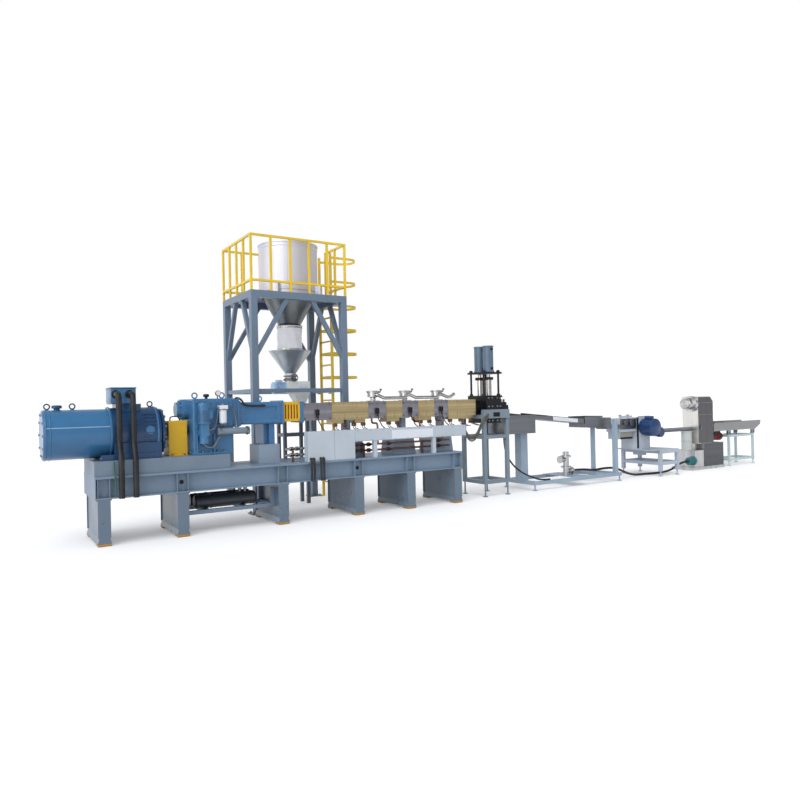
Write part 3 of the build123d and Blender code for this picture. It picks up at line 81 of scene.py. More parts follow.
class Grain(Enum):
    """Direction of brushing on a metal, as the stretch of its pattern along X, Y and Z."""

    UPRIGHT = (1.0, 1.0, 0.012)
    ALONG = (0.012, 1.0, 1.0)
    CROSS = (1.0, 0.012, 1.0)
    NONE = (1.0, 1.0, 1.0)


def linear(colour: str, gain: float = 1.0) -> tuple[float, float, float, float]:
    """Linear colour of an sRGB hex value.

    Args:
        colour: Six hex digits after a hash sign.
        gain: Factor on the linear value.

    Returns:
        Red, green, blue and a full alpha.
    """
    srgb = np.array([int(colour[i:i + 2], 16) for i in (1, 3, 5)]) / 255.0
    value = np.where(srgb <= 0.04045, srgb / 12.92, ((srgb + 0.055) / 1.055) ** 2.4)
    return (*np.clip(value * gain, 0.0, 1.0).tolist(), 1.0)


def add(tree: bpy.types.NodeTree, kind: str, settings: dict | None = None,
        links: dict | None = None) -> bpy.types.Node:
    """Adds one shader node, sets it up and links it.

    Args:
        tree: Node tree of the material or world.
        kind: Type name of the node.
        settings: Property names, socket names or socket numbers and their values; stops are
            the places and colours of a colour ramp.
        links: Input socket and the (node, output) that feeds it.

    Returns:
        The new node.
    """
    node = tree.nodes.new(kind)
    for key, value in (settings or {}).items():
        if key == "stops":
            for place, (at, colour) in zip(node.color_ramp.elements, value):
                place.position = at
                place.color = colour
        elif isinstance(key, str) and hasattr(node, key):
            setattr(node, key, value)
        else:
            node.inputs[key].default_value = value
    for key, (source, output) in (links or {}).items():
        tree.links.new(source.outputs[output], node.inputs[key])
    return node


@dataclass(frozen=True)
class Finish:
    """What all finishes share.

    Attributes:
        name: Name of the material.
        slot: Name of a material slot; not used.
        colour: Main colour as an sRGB hex value.
        roughness: Middle roughness.
    """

    name: str
    slot: str
    colour: str
    roughness: float

    def material(self) -> bpy.types.Material:
        """The material of this finish, made at its first use.

        Returns:
            The shared material.
        """
        found = bpy.data.materials.get(self.name)
        if found:
            return found
        made = bpy.data.materials.new(self.name)
        made.use_nodes = True
        tree = made.node_tree
        tree.nodes.clear()
        shader = add(tree, "ShaderNodeBsdfPrincipled")
        add(tree, "ShaderNodeOutputMaterial", links={"Surface": (shader, "BSDF")})
        self.dress(tree, shader)
        return made

    def dress(self, tree: bpy.types.NodeTree, shader: bpy.types.Node) -> None:
        """Adds the pattern nodes of the finish to its shader."""
        raise NotImplementedError


@dataclass(frozen=True)
class MachinePaint(Finish):
    """Sprayed two-part enamel on steel: faint clouds in the coat, orange peel, rounded edges tinted towards
    an edge colour.

    Attributes:
        metallic: Share of metal, for blackened or bare castings.
        cloud_mm: Size of the clouds in the coat.
        peel_mm: Size of the orange peel, drawn coarser than life so that it shows.
        edge_mm: Radius that sharp edges seem to have.
        edge_share: How far edges go to the edge colour.
        edge_tint: Colour of the edges, paler than the coat on most paints and darker on the base frame and
            legs.
        spread: How far the clouds go to either side of the colour.
    """

    metallic: float = 0.0
    cloud_mm: float = 420.0
    peel_mm: float = 14.0
    edge_mm: float = 5.0
    edge_share: float = 0.45
    edge_tint: str = "#c9d2da"
    spread: float = 0.10

    def dress(self, tree: bpy.types.NodeTree, shader: bpy.types.Node) -> None:
        """Mixes clouds and edges into the colour and peel into the normal.

        Args:
            tree: Node tree of the material.
            shader: Shader that the pattern feeds.
        """
        place = add(tree, "ShaderNodeTexCoord")
        cloud = add(tree, "ShaderNodeTexNoise", {"Scale": 1.0 / (self.cloud_mm * MM), "Detail": 5.0,
                    "Roughness": 0.62}, {"Vector": (place, "Object")})
        tone = add(tree, "ShaderNodeValToRGB", {"stops": (
            (0.30, linear(self.colour, 1.0 - self.spread)), (0.70, linear(self.colour, 1.0 + self.spread)))},
            {"Fac": (cloud, "Fac")})
        soft = add(tree, "ShaderNodeBevel", {"samples": 4, "Radius": self.edge_mm * MM})
        flat = add(tree, "ShaderNodeNewGeometry")
        turn = add(tree, "ShaderNodeVectorMath", {"operation": "DOT_PRODUCT"},
                   {0: (soft, "Normal"), 1: (flat, "Normal")})
        edge = add(tree, "ShaderNodeMapRange", {"From Min": 0.995, "From Max": 0.86, "To Min": 0.0,
                   "To Max": self.edge_share}, {"Value": (turn, "Value")})
        colour = add(tree, "ShaderNodeMix", {"data_type": "RGBA", 7: linear(self.edge_tint)},
                     {0: (edge, "Result"), 6: (tone, "Color")})
        gloss = add(tree, "ShaderNodeMapRange", {"From Min": 0.3, "From Max": 0.7,
                    "To Min": self.roughness - 0.06, "To Max": self.roughness + 0.08},
                    {"Value": (cloud, "Fac")})
        peel = add(tree, "ShaderNodeTexNoise", {"Scale": 1.0 / (self.peel_mm * MM), "Detail": 2.0},
                   {"Vector": (place, "Object")})
        bump = add(tree, "ShaderNodeBump", {"Strength": 0.10, "Distance": 0.002},
                   {"Height": (peel, "Fac"), "Normal": (soft, "Normal")})
        shader.inputs["Metallic"].default_value = self.metallic
        tree.links.new(colour.outputs[2], shader.inputs["Base Color"])
        tree.links.new(gloss.outputs["Result"], shader.inputs["Roughness"])
        tree.links.new(bump.outputs["Normal"], shader.inputs["Normal"])


@dataclass(frozen=True)
class BrushedMetal(Finish):
    """Rolled or brushed sheet: fine lines one way, broad faint bands of painted reflection along the grain
    and soft cloudy stains.

    Attributes:
        grain: Direction of the lines.
        line_mm: Spacing of the brush lines, drawn coarser than life so that they show.
        reflection_band_mm: Width of the broad bands, painted reflection stripes.
        spread: How far the painted reflection bands go to either side of the colour.
        stain: Colour of the cloudy stains.
        stain_share: How strong the stains get.
    """

    grain: Grain = Grain.UPRIGHT
    line_mm: float = 7.0
    reflection_band_mm: float = 130.0
    spread: float = 0.20
    stain: str = "#6d665c"
    stain_share: float = 0.22

    def dress(self, tree: bpy.types.NodeTree, shader: bpy.types.Node) -> None:
        """Stretches noise along the grain for lines and for bands of painted reflection, and adds stains.

        Args:
            tree: Node tree of the material.
            shader: Shader that the pattern feeds.
        """
        place = add(tree, "ShaderNodeTexCoord")
        lines_at = add(tree, "ShaderNodeMapping",
                       {"Scale": tuple(s / (self.line_mm * MM) for s in self.grain.value)},
                       {"Vector": (place, "Object")})
        lines = add(tree, "ShaderNodeTexNoise", {"Scale": 1.0, "Detail": 3.0},
                    {"Vector": (lines_at, "Vector")})
        # Broad bands along the grain: painted reflection stripes in the colour.
        reflection_bands_at = add(tree, "ShaderNodeMapping",
                       {"Scale": tuple(s / (self.reflection_band_mm * MM) for s in self.grain.value)},
                       {"Vector": (place, "Object")})
        bands = add(tree, "ShaderNodeTexNoise", {"Scale": 1.0, "Detail": 2.0},
                    {"Vector": (reflection_bands_at, "Vector")})
        tone = add(tree, "ShaderNodeValToRGB", {"stops": (
            (0.30, linear(self.colour, 1.0 - self.spread)), (0.70, linear(self.colour, 1.0 + self.spread)))},
            {"Fac": (bands, "Fac")})
        cloud = add(tree, "ShaderNodeTexNoise", {"Scale": 3.2, "Detail": 6.0, "Roughness": 0.65},
                    {"Vector": (place, "Object")})
        share = add(tree, "ShaderNodeMapRange", {"From Min": 0.50, "From Max": 0.78, "To Min": 0.0,
                    "To Max": self.stain_share}, {"Value": (cloud, "Fac")})
        colour = add(tree, "ShaderNodeMix", {"data_type": "RGBA", 7: linear(self.stain)},
                     {0: (share, "Result"), 6: (tone, "Color")})
        gloss = add(tree, "ShaderNodeMapRange",
                    {"From Min": 0.3, "From Max": 0.7, "To Min": self.roughness - 0.08,
"To Max": self.roughness + 0.10}, {"Value": (lines, "Fac")})
        soft = add(tree, "ShaderNodeBevel", {"samples": 4, "Radius": 0.004})
        bump = add(tree, "ShaderNodeBump", {"Strength": 0.12, "Distance": 0.0015},
                   {"Height": (lines, "Fac"), "Normal": (soft, "Normal")})
        shader.inputs["Metallic"].default_value = 1.0
        tree.links.new(colour.outputs[2], shader.inputs["Base Color"])
        tree.links.new(gloss.outputs["Result"], shader.inputs["Roughness"])
        tree.links.new(bump.outputs["Normal"], shader.inputs["Normal"])


@dataclass(frozen=True)
class Sheath(Finish):
    """Extruded rubber or plastic sheath and woven cloth: matt, fine pebble or thread, dusty patches.

    Attributes:
        grit_mm: Size of pebble or thread, drawn coarser than life so that it shows.
        dust: Colour of the dust.
        dust_share: How strong the dust gets.
        sheen: Weight of the sheen, for cloth.
    """

    grit_mm: float = 6.0
    dust: str = "#7d8085"
    dust_share: float = 0.18
    sheen: float = 0.0

    def dress(self, tree: bpy.types.NodeTree, shader: bpy.types.Node) -> None:
        """Mixes dust into the colour and grit into the normal.

        Args:
            tree: Node tree of the material.
            shader: Shader that the pattern feeds.
        """
        place = add(tree, "ShaderNodeTexCoord")
        cloud = add(tree, "ShaderNodeTexNoise", {"Scale": 6.0, "Detail": 5.0}, {"Vector": (place, "Object")})
        share = add(tree, "ShaderNodeMapRange", {"From Min": 0.42, "From Max": 0.75, "To Min": 0.0,
                    "To Max": self.dust_share}, {"Value": (cloud, "Fac")})
        colour = add(tree, "ShaderNodeMix",
                     {"data_type": "RGBA", 6: linear(self.colour), 7: linear(self.dust)},
                     {0: (share, "Result")})
        grit = add(tree, "ShaderNodeTexNoise", {"Scale": 1.0 / (self.grit_mm * MM), "Detail": 2.0},
                   {"Vector": (place, "Object")})
        bump = add(tree, "ShaderNodeBump", {"Strength": 0.2, "Distance": 0.001}, {"Height": (grit, "Fac")})
        shader.inputs["Roughness"].default_value = self.roughness
        shader.inputs["Sheen Weight"].default_value = self.sheen
        tree.links.new(colour.outputs[2], shader.inputs["Base Color"])
        tree.links.new(bump.outputs["Normal"], shader.inputs["Normal"])


# Edge tint darker than the coat on the base frame and legs.
BASE_PAINT = MachinePaint("blue_grey_enamel", "base_paint", "#74889d", 0.42, edge_tint="#566471")
# Darker copy of the base enamel on the legs: painted shade under the base frame.
LEG_PAINTED_SHADE = MachinePaint("painted_shade_leg_enamel", "base_paint", "#627384", 0.30, edge_tint="#4d5a66")
PLINTH_PAINT = MachinePaint("pale_blue_grey_enamel", "base_paint", "#6d7e8f", 0.40, edge_tint="#8f9dab")
PAD_PAINT = MachinePaint("ochre_enamel", "pad_paint", "#a9803a", 0.55, edge_tint="#d8bd80")
MOTOR_PAINT = MachinePaint("motor_blue_enamel", "motor_paint", "#366c98", 0.22, edge_tint="#8fb0c9", edge_share=0.3)
# Darker copy of the motor blue: painted shade on the motor body, also used on its eyes and breather cap.
MOTOR_PAINTED_SHADE = MachinePaint("shaded_blue_enamel", "motor_paint", "#1b4067", 0.26, edge_tint="#6f93b3", edge_share=0.3)
# Pale copy of the motor blue for the cowl's lap seam: a painted highlight along the seam.
SEAM_PAINTED_HIGHLIGHT = MachinePaint("painted_highlight_seam_enamel", "motor_paint", "#86abc8", 0.30, edge_tint="#b4cde0", edge_share=0.3)
FEEDER_BLUE = MachinePaint("pale_blue_enamel", "motor_paint", "#a5c6e4", 0.36, edge_tint="#c3d6e6", edge_share=0.3)
CUTTER_BLUE = MachinePaint("cutter_blue_enamel", "motor_paint", "#133a69", 0.26, edge_tint="#86a8cc", edge_share=0.3)
GEAR_PAINT = MachinePaint("gear_blue_enamel", "gear_paint", "#3a6e9a", 0.28, edge_tint="#9bbcd6", edge_share=0.4)
GUARD_PAINT = MachinePaint("guard_yellow_enamel", "guard_paint", "#d8ab17", 0.38, edge_tint="#f0d878", edge_share=0.3)
RAIL_PAINT = MachinePaint("railing_yellow_enamel", "rail_paint", "#e6c123", 0.36, edge_tint="#f6e59a", edge_share=0.3)
ORANGE_PAINT = MachinePaint("orange_red_enamel", "guard_paint", "#c2552a", 0.45, edge_tint="#e0a080")
LIGHT_PAINT = MachinePaint("pale_grey_powder_coat", "light_paint", "#b3bec8", 0.45, edge_tint="#e9edf0",
                           spread=0.05)
WHITE_PLATE = MachinePaint("white_sheet", "light_paint", "#d8dde6", 0.4, edge_tint="#f4f6f8", spread=0.03)
PEDESTAL_PAINT = MachinePaint("pedestal_blue_grey_enamel", "pedestal_paint", "#8595a6", 0.42)
CYLINDER_PAINT = MachinePaint("cylinder_blue_grey_enamel", "cylinder_paint", "#566c7f", 0.34)
FRAME_PAINT = MachinePaint("light_blue_grey_enamel", "frame_paint", "#92a6b8", 0.40)
STAND_PAINT = MachinePaint("stand_blue_grey_enamel", "frame_paint", "#74838f", 0.40)
TABLE_PAINT = MachinePaint("table_pale_grey_enamel", "frame_paint", "#aab4c2", 0.40)
TOWER_PAINT = MachinePaint("tower_blue_grey_enamel", "tower_paint", "#67798d", 0.42)
FEEDER_PAINT = MachinePaint("off_white_enamel", "feeder_white", "#dfe2e0", 0.40, edge_tint="#eceeec", spread=0.05)
SEPARATOR_PAINT = MachinePaint("grey_white_enamel", "feeder_white", "#b9bdbc", 0.40, edge_tint="#dfe2e0",
                               spread=0.05)
BODY_PAINT = MachinePaint("body_grey_enamel", "body_grey", "#b4bcc8", 0.38, edge_tint="#e2e6ec", spread=0.06)
CREAM_PAINT = MachinePaint("cream_enamel", "body_grey", "#8f8d82", 0.42, edge_tint="#ece7d6")
TEAL_PAINT = MachinePaint("teal_enamel", "pump_teal", "#2f7078", 0.36, edge_tint="#9cc8c8")
RED_PAINT = MachinePaint("red_enamel", "sieve_red", "#a81c20", 0.36, edge_tint="#d07a78")
DARK_RED = MachinePaint("dark_red_enamel", "sieve_red", "#451515", 0.45, edge_tint="#8d5552")
GREEN_WHITE = MachinePaint("green_white_enamel", "sieve_green", "#b6c7cb", 0.42, edge_tint="#e6efec")
DARK_PAINT = MachinePaint("dark_grey_enamel", "dark_paint", "#5d6872", 0.45, edge_tint="#7a848d")
TANK_PAINT = MachinePaint("black_enamel", "tank_black", "#2b3238", 0.34, edge_tint="#6a7178", edge_share=0.4)
BLACK_STEEL = MachinePaint("blackened_steel", "black_steel", "#1d1e22", 0.42, metallic=0.55, edge_tint="#6e7076",
                           spread=0.2)
FILTER_ENAMEL = MachinePaint("white_enamel", "filter_white", "#d9dfe6", 0.25, edge_tint="#f2f4f6", spread=0.04)
BARREL_STEEL = BrushedMetal("ground_barrel_steel", "barrel_steel", "#918f98", 0.42, Grain.ALONG, reflection_band_mm=60.0)
HEATER_BRASS = BrushedMetal("pale_gold_heater_sheet", "heater_brass", "#b5a47d", 0.40, Grain.ALONG,
                            line_mm=11.0, reflection_band_mm=36.0, spread=0.24, stain="#8f7d57", stain_share=0.35)
STAINLESS = BrushedMetal("bright_stainless_sheet", "stainless", "#bcbcbc", 0.26, Grain.UPRIGHT, reflection_band_mm=90.0)
STAINLESS_DULL = BrushedMetal("dull_stainless_sheet", "stainless_dull", "#74777c", 0.40, Grain.ALONG)
# Dark sheet for the front of the bright dryer base tank: painted shade on its front face.
TANK_FRONT_PAINTED_SHADE = BrushedMetal("painted_shade_tank_sheet", "stainless_dull", "#64676c", 0.42, Grain.ALONG, spread=0.10)
# Darker copy of the column steel for the dryer's front doors: painted shade on the column's front face.
DOOR_PAINTED_SHADE_STEEL = BrushedMetal("painted_shade_door_sheet", "stainless", "#6b6b6e", 0.40, Grain.UPRIGHT, spread=0.10)
HOPPER_STEEL = BrushedMetal("rolled_stainless_hopper_sheet", "stainless", "#dcdce6", 0.56, Grain.UPRIGHT,
                            line_mm=24.0, reflection_band_mm=260.0, spread=0.08, stain="#b5afa3", stain_share=0.05)
CONE_STEEL = BrushedMetal("welded_cone_sheet", "stainless_dull", "#767b7e", 0.34, Grain.UPRIGHT,
                          reflection_band_mm=110.0,
                          spread=0.20)
# Lighter copy of the cone steel for the feed funnel: painted light on the funnel under the deck.
FUNNEL_PAINTED_LIGHT_STEEL = BrushedMetal("painted_light_funnel_sheet", "stainless_dull", "#b2b8be", 0.36, Grain.UPRIGHT,
                            reflection_band_mm=120.0,
                            spread=0.12)
COLUMN_STEEL = BrushedMetal("brushed_column_sheet", "stainless", "#dad8d4", 0.30, Grain.UPRIGHT,
                            reflection_band_mm=160.0,
                            spread=0.08, stain_share=0.08)
TRAY_STEEL = BrushedMetal("brushed_tray_sheet", "stainless", "#9a9a9b", 0.30, Grain.ALONG, reflection_band_mm=120.0,
                          spread=0.08, stain_share=0.10)
ROD_CHROME = BrushedMetal("hard_chrome", "rod_chrome", "#b0aead", 0.14, Grain.UPRIGHT, spread=0.06)
BOLT_STEEL = BrushedMetal("zinc_plated_steel", "barrel_steel", "#85888d", 0.40, Grain.NONE, line_mm=9.0)
PIPE_COPPER = BrushedMetal("copper_pipe", "pipe_copper", "#83604f", 0.34, Grain.ALONG, stain="#6b4434")
CABLE_RUBBER = Sheath("black_rubber_sheath", "cable_rubber", "#0f1012", 0.50, dust_share=0.08)
GREEN_LEAD = Sheath("green_cable_sheath", "cable_rubber", "#2f6a4a", 0.5)
GREY_CONDUIT = Sheath("grey_conduit_sheath", "cable_rubber", "#4f4f49", 0.45, dust="#8b8a82")
SLEEVE_CLOTH = Sheath("white_woven_sleeve", "sleeve_fabric", "#fcfcff", 0.85, dust="#e4e5ec", dust_share=0.30,
                      sheen=0.2)

NODE_FINISHES: dict[str, Finish] = {
    "base_legs": LEG_PAINTED_SHADE, "base_foot_pads": PAD_PAINT, "base_frame": BASE_PAINT,
    "drive_plinth": PLINTH_PAINT,
    "oil_station_rack": BASE_PAINT, "oil_tanks": TANK_PAINT, "motor_body": MOTOR_PAINTED_SHADE,
    "motor_cowl": MOTOR_PAINT,
    "motor_cables": CABLE_RUBBER, "coupling_guard": GUARD_PAINT, "gearbox_housing": GEAR_PAINT,
    "oil_pump_motor": GEAR_PAINT, "oil_filter": FILTER_ENAMEL, "oil_cooler": STAND_PAINT,
    "distribution_case": GEAR_PAINT, "lantern_guard": GUARD_PAINT, "barrel_core": BARREL_STEEL,
    "heater_covers": HEATER_BRASS, "machine_pedestals": PEDESTAL_PAINT, "vent_line": STAINLESS,
    "cable_trunk": LIGHT_PAINT, "cooling_pipes": PIPE_COPPER, "screen_changer_block": BLACK_STEEL,
    "screen_changer_frame": BLACK_STEEL, "hydraulic_cylinders": CYLINDER_PAINT, "piston_front": ROD_CHROME,
    "piston_rear": ROD_CHROME, "die_head": BLACK_STEEL, "die_stand": STAND_PAINT,
    "water_tank": STAINLESS_DULL,
    "strand_trough": STAINLESS_DULL, "drain_box": STAINLESS_DULL, "trough_frame": FRAME_PAINT,
    "water_pump": STAINLESS, "pelletizer_frame": TABLE_PAINT, "pelletizer_body": BODY_PAINT,
    "pelletizer_motor": CUTTER_BLUE, "pellet_pipe": STAINLESS_DULL, "dryer_base": STAINLESS,
    "dryer_column": COLUMN_STEEL, "dryer_separator": SEPARATOR_PAINT, "dryer_fan": STAINLESS,
    "dryer_pump": TEAL_PAINT, "sieve_tray": TRAY_STEEL, "sieve_frame": GREEN_WHITE, "sieve_motor": DARK_RED,
    "tower_frame": TOWER_PAINT, "tower_railings": RAIL_PAINT, "ladder_with_cage": RAIL_PAINT,
    "hopper_barrel": HOPPER_STEEL, "hopper_cone": CONE_STEEL, "hopper_sleeve": SLEEVE_CLOTH,
    "feed_funnel": FUNNEL_PAINTED_LIGHT_STEEL, "feeder_body": FEEDER_PAINT, "feeder_motor": FEEDER_BLUE,
    "side_feeder": BODY_PAINT, "side_feeder_stand": DARK_PAINT, "trunk_cables": CABLE_RUBBER,
    "pump_hose": CABLE_RUBBER, "die_hose": CABLE_RUBBER,
}


@dataclass
class Solid:
    """A closed mesh as arrays.

    Attributes:
        points: Places of the vertices, one row each.
        quads: Four vertex numbers for each side face.
        tris: Three vertex numbers for each end face.
    """

    points: Array
    quads: Array
    tris: Array

    def volume(self) -> float:
        """Signed volume, the sum of the tetrahedra from the origin to each triangle.

        Returns:
            Cubic metres, below zero where faces point inwards.
        """
        faces = np.concatenate([self.quads[:, [0, 1, 2]], self.quads[:, [0, 2, 3]], self.tris])
        a, b, c = (self.points[faces[:, k]] for k in range(3))
        return float(np.einsum("ij,ij->i", a, np.cross(b, c)).sum() / 6.0)

    def outward(self) -> Solid:
        """The same solid with its faces pointing outwards.

        Returns:
            This solid, or a copy with its faces turned.
        """
        centred = Solid(self.points - self.points.mean(0), self.quads, self.tris)
        if centred.volume() >= 0.0:
            return self
        return Solid(self.points, self.quads[:, ::-1], self.tris[:, ::-1])


def loft(rings: Array, closed: bool = False) -> Solid:
    """Solid through a grid of rings: point (i, j) joins (i + 1, j) and (i, j + 1), which wraps round.

    Args:
        rings: Places as (rings, points in a ring, 3).
        closed: Whether the last ring joins the first; otherwise fans close both ends.

    Returns:
        The closed solid.
    """
    rows, cols = rings.shape[:2]
    steps = rows if closed else rows - 1
    i, j = np.meshgrid(np.arange(steps), np.arange(cols), indexing="ij")
    down, right = (i + 1) % rows, (j + 1) % cols
    quads = np.stack([i * cols + j, i * cols + right, down * cols + right, down * cols + j], -1).reshape(-1,
                                                                                                         4)
    points = rings.reshape(-1, 3)
    tris = np.zeros((0, 3), int)
    if not closed:
        ring, turn = np.arange(cols), (np.arange(cols) + 1) % cols
        last = (rows - 1) * cols
        tris = np.concatenate([np.stack([turn, ring, np.full(cols, rows * cols)], -1),
                               np.stack([ring + last, turn + last, np.full(cols, rows * cols + 1)], -1)])
        points = np.concatenate([points, rings[:1].mean(1), rings[-1:].mean(1)])
    return Solid(points, quads, tris).outward()


def basis(axis: Axis) -> tuple[Array, Array, Array]:
    """Three unit vectors at right angles, the last along the axis.

    Args:
        axis: Direction of the axis.

    Returns:
        Two side directions and the axis.
    """
    along = np.array(axis.value)
    side = np.array([0.0, 0.0, 1.0]) if abs(along[2]) < 0.5 else np.array([1.0, 0.0, 0.0])
    return side, np.cross(along, side), along


def turned(profile: list[tuple[float, float]], origin: Point, axis: Axis = Axis.UP, sides: int = 20) -> Solid:
    """Body of revolution: ring i has radius r_i at height h_i, point j lies at angle 2 pi j / sides.

    Args:
        profile: Radius and height of each ring.
        origin: Place of height 0 on the axis.
        axis: Direction of the axis.
        sides: Points in a ring.

    Returns:
        The solid, its ends closed.
    """
    side, other, along = basis(axis)
    radius, height = np.array(profile).T
    angle = np.linspace(0.0, 2.0 * np.pi, sides, endpoint=False)
    spokes = np.cos(angle)[:, None] * side + np.sin(angle)[:, None] * other
    return loft(np.array(origin) + radius[:, None, None] * spokes + (height[:, None] * along)[:, None, :])


def rod(origin: Point, axis: Axis, radius: float, length: float, edge: float = 0.0, sides: int = 20) -> Solid:
    """Round bar with chamfered ends: the turned profile of a rectangle with both corners cut.

    Args:
        origin: Middle of the first end.
        axis: Direction of the axis.
        radius: Radius of the bar.
        length: Length of the bar.
        edge: Chamfer, or zero for a share of the smaller size.
        sides: Points in a ring.

    Returns:
        The bar.
    """
    cut = edge or min(radius, length) * 0.12
    return turned([(radius - cut, 0.0), (radius, cut), (radius, length - cut), (radius - cut, length)],
                  origin, axis, sides)


def ring(centre: Point, axis: Axis, radius: float, wire: float, sides: int = 28,
         wire_sides: int = 8) -> Solid:
    """Torus: point (i, j) lies at radius R + r cos v and height r sin v about the axis.

    Args:
        centre: Middle of the ring.
        axis: Direction of the axis.
        radius: Radius to the middle of the wire.
        wire: Radius of the wire.
        sides: Steps round the ring.
        wire_sides: Steps round the wire.

    Returns:
        The ring.
    """
    side, other, along = basis(axis)
    u = np.linspace(0.0, 2.0 * np.pi, sides, endpoint=False)[:, None, None]
    v = np.linspace(0.0, 2.0 * np.pi, wire_sides, endpoint=False)[None, :, None]
    out = np.cos(u) * side + np.sin(u) * other
    return loft(np.array(centre) + (radius + wire * np.cos(v)) * out + wire * np.sin(v) * along, closed=True)


def hoop(centre: Point, axis: Axis, radius: float, width: float, thick: float, sides: int = 48) -> Solid:
    """Flat band bent to a circle: a rectangle, width along the axis and thickness outwards, carried round.

    Args:
        centre: Place on the axis where the band starts.
        axis: Direction of the axis.
        radius: Inner radius.
        width: Width of the band along the axis.
        thick: Thickness of the band.
        sides: Steps round the circle.

    Returns:
        The band, open in the middle.
    """
    side, other, along = basis(axis)
    angle = np.linspace(0.0, 2.0 * np.pi, sides, endpoint=False)[:, None, None]
    reach = radius + thick * np.array([0.0, 1.0, 1.0, 0.0])[None, :, None]
    height = width * np.array([0.0, 0.15, 0.85, 1.0])[None, :, None]
    out = np.cos(angle) * side + np.sin(angle) * other
    return loft(np.array(centre) + reach * out + height * along, closed=True)


def slab(low: Point, high: Point, bevel: float = 0.004, axis: Axis = Axis.UP) -> Solid:
    """Block with rounded edges: a rounded rectangle carried along the axis, drawn in at both ends.

    Args:
        low: Lowest corner.
        high: Highest corner.
        bevel: Radius of the edges.
        axis: Direction along which the outline is carried.

    Returns:
        The solid.
    """
    low_at, high_at = np.array(low), np.array(high)
    middle, half = (low_at + high_at) / 2.0, (high_at - low_at) / 2.0
    side, other, along = basis(axis)
    a, b, c = (float(abs(half @ d)) for d in (side, other, along))
    edge = min(bevel, 0.45 * min(a, b, c))
    angle = (np.arange(4)[:, None] * 90.0 + np.array([0.0, 45.0, 90.0])) * np.pi / 180.0
    signs = np.array([(1, 1), (-1, 1), (-1, -1), (1, -1)])[:, None, :]
    inset = np.array([edge * 0.9, 0.0, 0.0, edge * 0.9])
    height = np.array([-c, edge - c, c - edge, c])
    reach = np.array([a - edge, b - edge]) * signs
    curve = np.stack([np.cos(angle), np.sin(angle)], -1)
    flat = (reach[None] + (edge - inset)[:, None, None, None] * curve[None]).reshape(4, -1, 2)
    return loft(middle + flat[..., :1] * side + flat[..., 1:] * other + height[:, None, None] * along)


def smooth_path(points: list[Point], rounds: int = 3) -> Array:
    """Path with its corners cut: each round keeps the quarter and three quarter points of each run.

    Args:
        points: Corners of the path.
        rounds: How often the corners are cut.

    Returns:
        Points of the smooth path.
    """
    path = np.array(points, float)
    for _ in range(rounds):
        first, second = path[:-1], path[1:]
        cut = np.stack([0.75 * first + 0.25 * second, 0.25 * first + 0.75 * second], 1).reshape(-1, 3)
        path = np.concatenate([path[:1], cut, path[-1:]])
    return path


def tube(path: Array, radius: float | Array, sides: int = 10, steady: Point = (0.31, 0.17, 0.93)) -> Solid:
    """Circle carried along a path: its plane is set by the tangent and a steady direction.

    Args:
        path: Points of the centre line.
        radius: Radius, the same all along or one for each point.
        sides: Points in a ring.
        steady: Direction that the path never follows.

    Returns:
        The solid, its ends closed.
    """
    tangent = np.gradient(path, axis=0)
    tangent /= np.linalg.norm(tangent, axis=1, keepdims=True)
    normal = np.cross(tangent, np.array(steady))
    normal /= np.linalg.norm(normal, axis=1, keepdims=True)
    other = np.cross(tangent, normal)
    angle = np.linspace(0.0, 2.0 * np.pi, sides, endpoint=False)[None, :, None]
    width = np.broadcast_to(np.asarray(radius, float), (len(path),))[:, None, None]
    return loft(path[:, None, :] + width * (np.cos(angle) * normal[:, None] + np.sin(angle) * other[:, None]))


def pipe(points: list[Point], radius: float, rounds: int = 3, sides: int = 10) -> Solid:
    """Round pipe along a given route with its corners cut."""
    return tube(smooth_path(points, rounds), radius, sides)


def copies(solid: Solid, places: Array) -> Solid:
    """The solid repeated at each place, as one array.

    Args:
        solid: Solid about the origin.
        places: One row for each copy.

    Returns:
        All copies together.
    """
    places = np.asarray(places, float).reshape(-1, 3)
    count, size = len(places), len(solid.points)
    shift = (np.arange(count) * size)[:, None, None]
    return Solid((solid.points[None] + places[:, None]).reshape(-1, 3),
                 (solid.quads[None] + shift).reshape(-1, 4), (solid.tris[None] + shift).reshape(-1, 3))


def bolts(places: Array, axis: Axis, across: float = 0.030, height: float = 0.016) -> Solid:
    """Hexagon heads: six-sided turned profiles with a cut top edge, one at each place.

    Args:
        places: One row for each head.
        axis: Direction that the heads face.
        across: Width over the corners.
        height: Height of a head.

    Returns:
        All heads together.
    """
    half = across / 2.0
    head = turned([(half, -0.002), (half, height * 0.75), (half * 0.82, height)], (0.0, 0.0, 0.0), axis, 6)
    return copies(head, places)


def bolt_ring(centre: Point, axis: Axis, radius: float, count: int) -> Array:
    """Places on a circle: point k lies at angle 2 pi (k + 1/2) / count.

    Args:
        centre: Middle of the circle.
        axis: Direction of the axis.
        radius: Radius of the circle.
        count: Number of places.

    Returns:
        One row for each place.
    """
    side, other, _ = basis(axis)
    angle = (np.arange(count) + 0.5) * 2.0 * np.pi / count
    return np.array(centre) + radius * (np.cos(angle)[:, None] * side + np.sin(angle)[:, None] * other)


def rows(xs: Values, ys: Values, zs: Values) -> Array:
    """All places of a grid given by its X, Y and Z values."""
    return np.stack(np.meshgrid(np.atleast_1d(xs), np.atleast_1d(ys), np.atleast_1d(zs), indexing="ij"),
                    -1).reshape(-1, 3)


